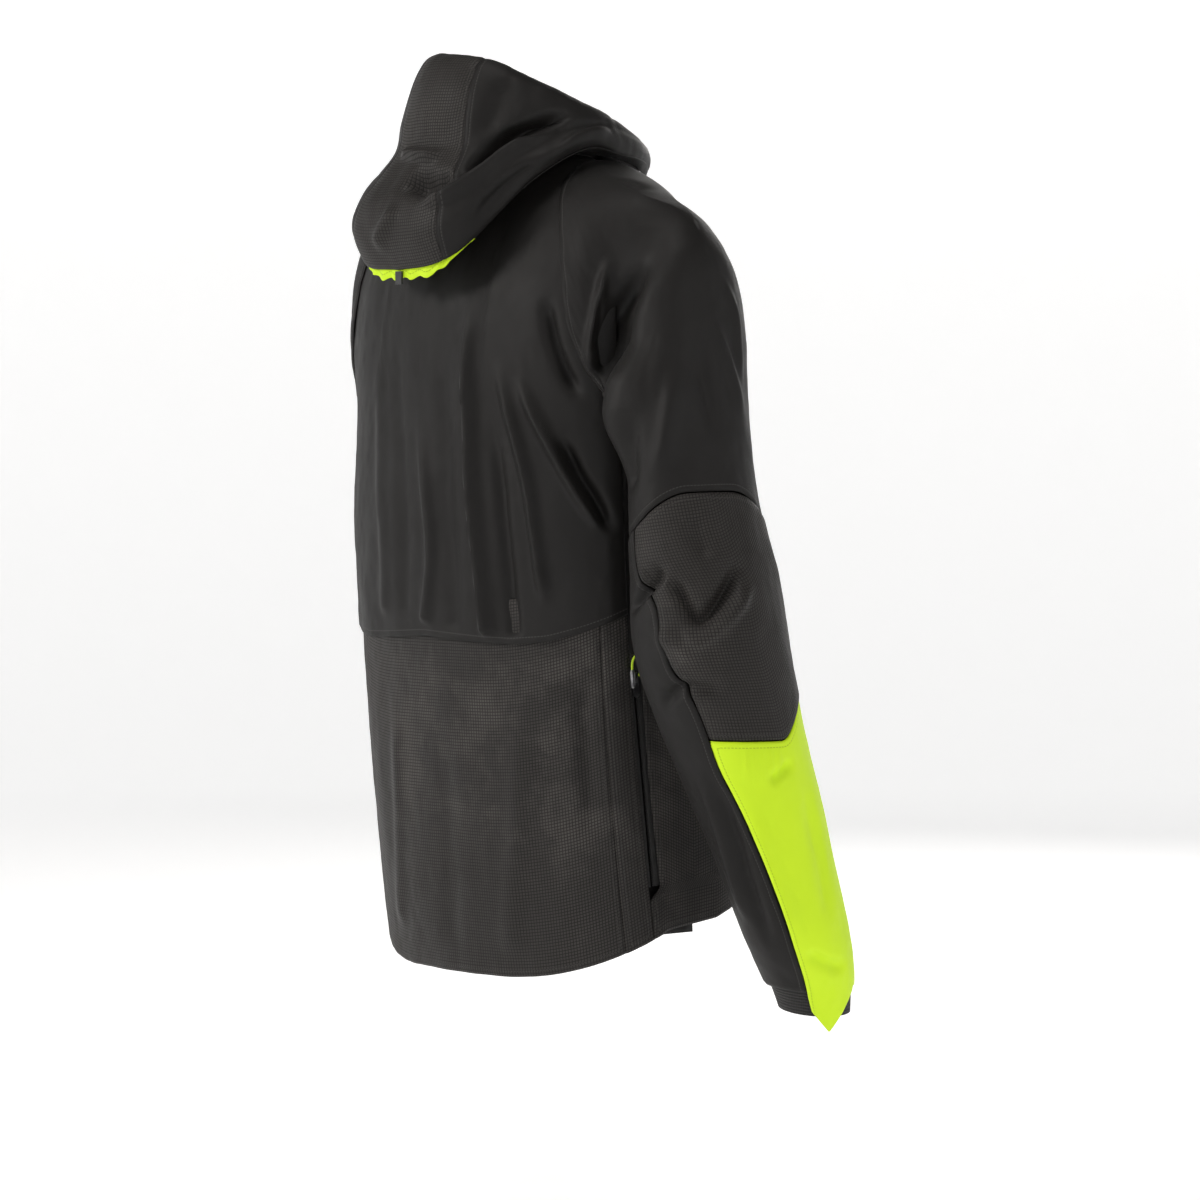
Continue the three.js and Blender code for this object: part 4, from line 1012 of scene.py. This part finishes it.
# ---- Sleeves ----
ELBOW_TOP, ELBOW_TOP_INSIDE, FOREARM_TOP, UNDER_END = 5.15, 5.6, 8.12, 10.98
CUFF_START, CUFF_END, PANEL_FRONT_ANGLE = 10.9, 11.42, -72.0
PANEL_BACK_EDGE = [(5.0, 104), (5.6, 104), (5.9, 98), (6.3, 80), (7.2, 76), (7.6, 64), (8.0, 60), (8.4, 61),
                   (8.8, 55), (9.3, 48), (9.8, 43), (10.5, 43), (11.3, 44), (12.0, 30)]


def elbow_top(angle):
    return mix(ELBOW_TOP, ELBOW_TOP_INSIDE, smooth((np.abs(angle - 20) - 20) / 90))


def forearm_top(angle):
    return FOREARM_TOP - 0.42 * smooth(-angle / 50)


def forearm_end(angle):
    return np.maximum(11.7 - 0.0155 * np.abs(angle - 18), 10.9)


def make_sleeve(name, side):
    back_edge = lambda station: table(PANEL_BACK_EDGE, station)
    ease = ("jacket_shell", f"sleeve_{name}", (side * 0.205, -0.05, -0.10), (side * 0.262, -0.05, -0.27))

    def part(piece, finish, from_angle, to_angle, start, end, size, inset=0.0, **more):
        def surface(u, v):
            across = 1 - u if side > 0 else u
            guess = mix(start(np.zeros_like(u)), end(np.zeros_like(u)), 1 - v)
            angle = mix(from_angle(guess), to_angle(guess), across)
            station = mix(start(angle), end(angle), 1 - v)
            point = sleeve_point(name, angle, station)
            if inset:
                centre = sleeve_point(name, angle + 180, station)
                point = point + unit(centre - point) * inset
            return point
        return make_cloth(f"{piece}_{name}", surface, size, finish, body=f"sleeve_{name}", **more)
    fixed = lambda value: (lambda x: np.full(np.shape(x), float(value)))
    part("upper_sleeve_cloth", "shell", fixed(180), fixed(-180), fixed(-2), lambda a: elbow_top(a) - 0.015,
         (430, 480), replaced=[f"sleeve_upper_{name}"], round_=True, sewn=(0, 0, 1, 1),
         relief=soft_relief(91, 1.4, cell=(50, 70)), blended=ease)
    part("sleeve_elbow", "grid", back_edge, fixed(PANEL_FRONT_ANGLE), elbow_top,
         lambda a: forearm_top(a) - 0.01, (190, 240), replaced=[f"sleeve_elbow_panel_{name}"], sewn=(1, 1,
                                                                                                     1, 1),
         relief=soft_relief(92, 1.2, cell=(50, 50)))
    part("sleeve_forearm", "neon", back_edge, fixed(PANEL_FRONT_ANGLE), forearm_top, forearm_end, (140, 330),
         replaced=[f"sleeve_forearm_panel_{name}"], sewn=(1, 1, 0, 1), relief=soft_relief(93, 0.8,
                                                                                          cell=(40, 60)),
         seam=(1, 1, 0.2, 1))
    part("sleeve_under", "shell", fixed(360 + PANEL_FRONT_ANGLE - 0.4), lambda s: back_edge(s) + 0.4,
         elbow_top,
         fixed(UNDER_END), (220, 560), replaced=[f"sleeve_under_panel_{name}"], sewn=(1, 1, 0, 1),
         relief=soft_relief(94, 1.3, cell=(50, 60)))
    part("sleeve_cuff_band", "elastic", fixed(180), fixed(-180), fixed(CUFF_START), fixed(CUFF_END), (210,
                                                                                                      42),
         replaced=[f"sleeve_cuff_{name}"], round_=True, inset=4.0, seam=(0, 0, 0, 0), folds=False)


# ---- Cords, ropes and tubes that follow a line of points in mm ----
def rope(name, line, radius, finish, body, replaced=(), sides=10):
    line = np.asarray(line, float)
    ahead = unit(np.gradient(line, axis=0))
    across = np.zeros_like(ahead)
    start = np.cross(ahead[0], (0.3, 0.2, 1.0))
    for k, forward in enumerate(ahead):
        start = start - forward * (start @ forward)
        start = start / np.linalg.norm(start)
        across[k] = start
    over = np.cross(ahead, across)
    turn = np.linspace(0, 2 * math.pi, sides + 1)
    reach = np.broadcast_to(radius, len(line)).astype(float)
    ring = (across[:, None] * np.cos(turn)[None, :, None] + over[:, None] * np.sin(turn)[None, :, None])
    points = line[:, None] + ring * reach[:, None, None]
    run = np.concatenate([[0], np.cumsum(np.linalg.norm(np.diff(line, axis=0), axis=1))])
    cloth = np.stack(np.broadcast_arrays(turn[None, :] * reach.max(), run[:, None]), -1)
    rows, columns = points.shape[:2]
    index = np.arange(rows * columns).reshape(rows, columns)
    ends = []
    for row, flip in ((index[0], 1), (index[-1], -1)):
        for k in range(1, sides - 2, 2):
            ends.append([row[0], row[k], row[k + 1], row[k + 2]][::-flip])
    faces = np.concatenate([grid_faces(index), np.array(ends)])
    layers = [("cloth", cloth.reshape(-1, 2) * MM)]
    obj = make_mesh(name, points.reshape(-1, 3), faces, layers, MATERIALS[finish])
    weld(obj)
    return place(obj, finish, body, replaced)


def smooth_line(knots, count):
    return along_rows(knots, np.linspace(0, len(knots) - 1, count))


# Drawcord route as [radius from the neck axis, height].
CORD_ROUTE = [[78.2, 36.8], [76, 37], [71, 37], [67, 36.8], [63.8, 34.5], [62.6, 30], [62.5, 22], [62.5, 8],
              [62.5, -8], [62.5, -22]]
CORD_ANGLE, CORD_DIAMETER = math.radians(102), 2.0


def make_drawcord(name, side):
    route = smooth_line(CORD_ROUTE, 90)
    radius, z = route[:, 0], route[:, 1]
    line = np.stack([side * radius * math.sin(CORD_ANGLE), HOOD_CENTRE_Y + radius * math.cos(CORD_ANGLE),
                     z], 1)
    cord = rope(f"neck_cord_{name}", line, CORD_DIAMETER / 2, "cord", "jacket_shell",
                [f"hood_drawcord_{name}"],
                sides=16)


# ---- Zips. Each has its own frame: across, out of the jacket, and up the zip from its top end ----
TAPE_OUTER, TAPE_INNER, TAPE_HALF = 13.5, 1.6, 0.5
TEETH_CENTRE, TEETH_PITCH = 1.42, 1.6
TEETH_START, TEETH_SHARE = 3, 0.985


def zip_frame(top, bottom, outward):
    up = unit(top - bottom)
    across = unit(np.cross(outward, up))
    return top, across, np.cross(up, across), up, float(np.linalg.norm(top - bottom))


def in_frame(zip_line, x, out, z):
    top, across, outward, up, _ = zip_line
    x, out, z = (np.asarray(value, float)[..., None] for value in np.broadcast_arrays(x, out, z))
    return top + across * x + outward * out + up * z


def make_zip(prefix, zip_line):
    length = zip_line[4]
    for letter, a, b in (("a", -TAPE_OUTER, -TAPE_INNER), ("b", TAPE_INNER, TAPE_OUTER)):
        def tape(u, v, a=a, b=b):
            return in_frame(zip_line, mix(a, b, u), TAPE_HALF, -length * (1 - v))
        make_cloth(f"{prefix}_cloth_{letter}", tape, (12, length), "tape", [f"{prefix}_tape_{letter}"],
                   thickness=0.9, seam=(0, 0, 0, 0), spacing=2.4, folds=False)
        middle = TEETH_CENTRE if a > 0 else -TEETH_CENTRE
        turns = int(length / TEETH_PITCH)
        turn = np.linspace(0, 2 * math.pi * turns, 6 * turns)
        coil = in_frame(zip_line, middle + 0.28 * np.cos(turn), 0.3 * np.sin(turn),
                        -length * turn / turn[-1] * TEETH_SHARE - TEETH_START)
        rope(f"{prefix}_teeth_{letter}", coil, 0.2, "coil", "jacket_shell", sides=4)


FLAP_EDGES, FLAP_DEPTH, FLAP_TOP_DROP = (-14.0, 20.0), -5.3, 62.0
POCKET_MIDDLE, POCKET_TOP_Z, POCKET_BOTTOM_Z, POCKET_RECESS = 85.7, -455.0, -655.0, 7.0


def make_zips():
    ends = [np.array([0, zip_y(z), z]) for z in (ZIP_TOP_Z, ZIP_BOTTOM_Z)]
    front = zip_frame(*ends, np.array([0, -1.0, 0]))
    make_zip("front_zip", front)

    def flap(u, v):
        bulge = 0.5 * ripple(u * 34, v * 620, 15, 60, 5)
        return in_frame(front, mix(*FLAP_EDGES, u), FLAP_DEPTH + bulge, -mix(front[4] - 1, FLAP_TOP_DROP, v))
    make_cloth("storm_flap_cloth", flap, (34, 620), "shell", ["front_storm_flap"], thickness=1.2,
               seam=(0, 0, 0, 0), sewn=(1, 1, 0, 0), folds=False)
    for name, side in SIDES.items():
        ends = [torso(side * POCKET_MIDDLE, z) for z in (POCKET_TOP_Z, POCKET_BOTTOM_Z)]
        beside = torso(side * (POCKET_MIDDLE + 1), POCKET_TOP_Z) - ends[0]
        outward = unit(np.cross((0, 0, 1), beside)) * side
        pocket = zip_frame(*(end - outward * POCKET_RECESS for end in ends), outward)
        make_zip(f"pocket_zip_{name}", pocket)
        loop = smooth_line([[-3.6, 4.8, -9], [-4.5, 8, -1], [-2, 10.5, 8], [2.5, 11, 10], [6, 11, 5],
                            [7, 11, -3]], 40)
        rope(f"pull_cord_{name}", in_frame(pocket, *loop.T), 1.1, "lime_cord", f"pocket_slider_{name}")
        grip = smooth_line([[6.9, 11, -1.5], [7.2, 11, -7], [7.6, 11.2, -13], [7.9, 11.4, -18]], 16)
        rope(f"pull_grip_{name}", in_frame(pocket, *grip.T), np.interp(range(16), [0, 3, 12, 15],
                                                                       [1.3, 2.3, 2, 1.2]),
             "metal", f"pocket_slider_{name}")


HANGER_LOOP = [[-27, -1, -6], [-22, -0.5, 0], [-10, 0, 1.5], [10, 0, 1.5], [22, -0.5, 0], [27, -1, -6]]

make_back()
make_sides_and_front()
make_collar()
make_hood()
make_zips()
rope("loop_cord", smooth_line(HANGER_LOOP, 40), 1.5, "cord", "jacket_shell", ["hanger_loop"])
for arm, arm_side in SIDES.items():
    make_drawcord(arm, arm_side)
for arm, arm_side in SIDES.items():
    make_sleeve(arm, arm_side)

# ---- Carried-over CAD nodes ----
METAL_WORDS = ("slider", "pull", "stop")
for node_name, node in NODES.items():
    if node.hide_render:
        continue
    metal = any(word in node_name for word in METAL_WORDS)
    node.data.materials.clear()
    node.data.materials.append(MATERIALS["metal" if metal else "plastic"])
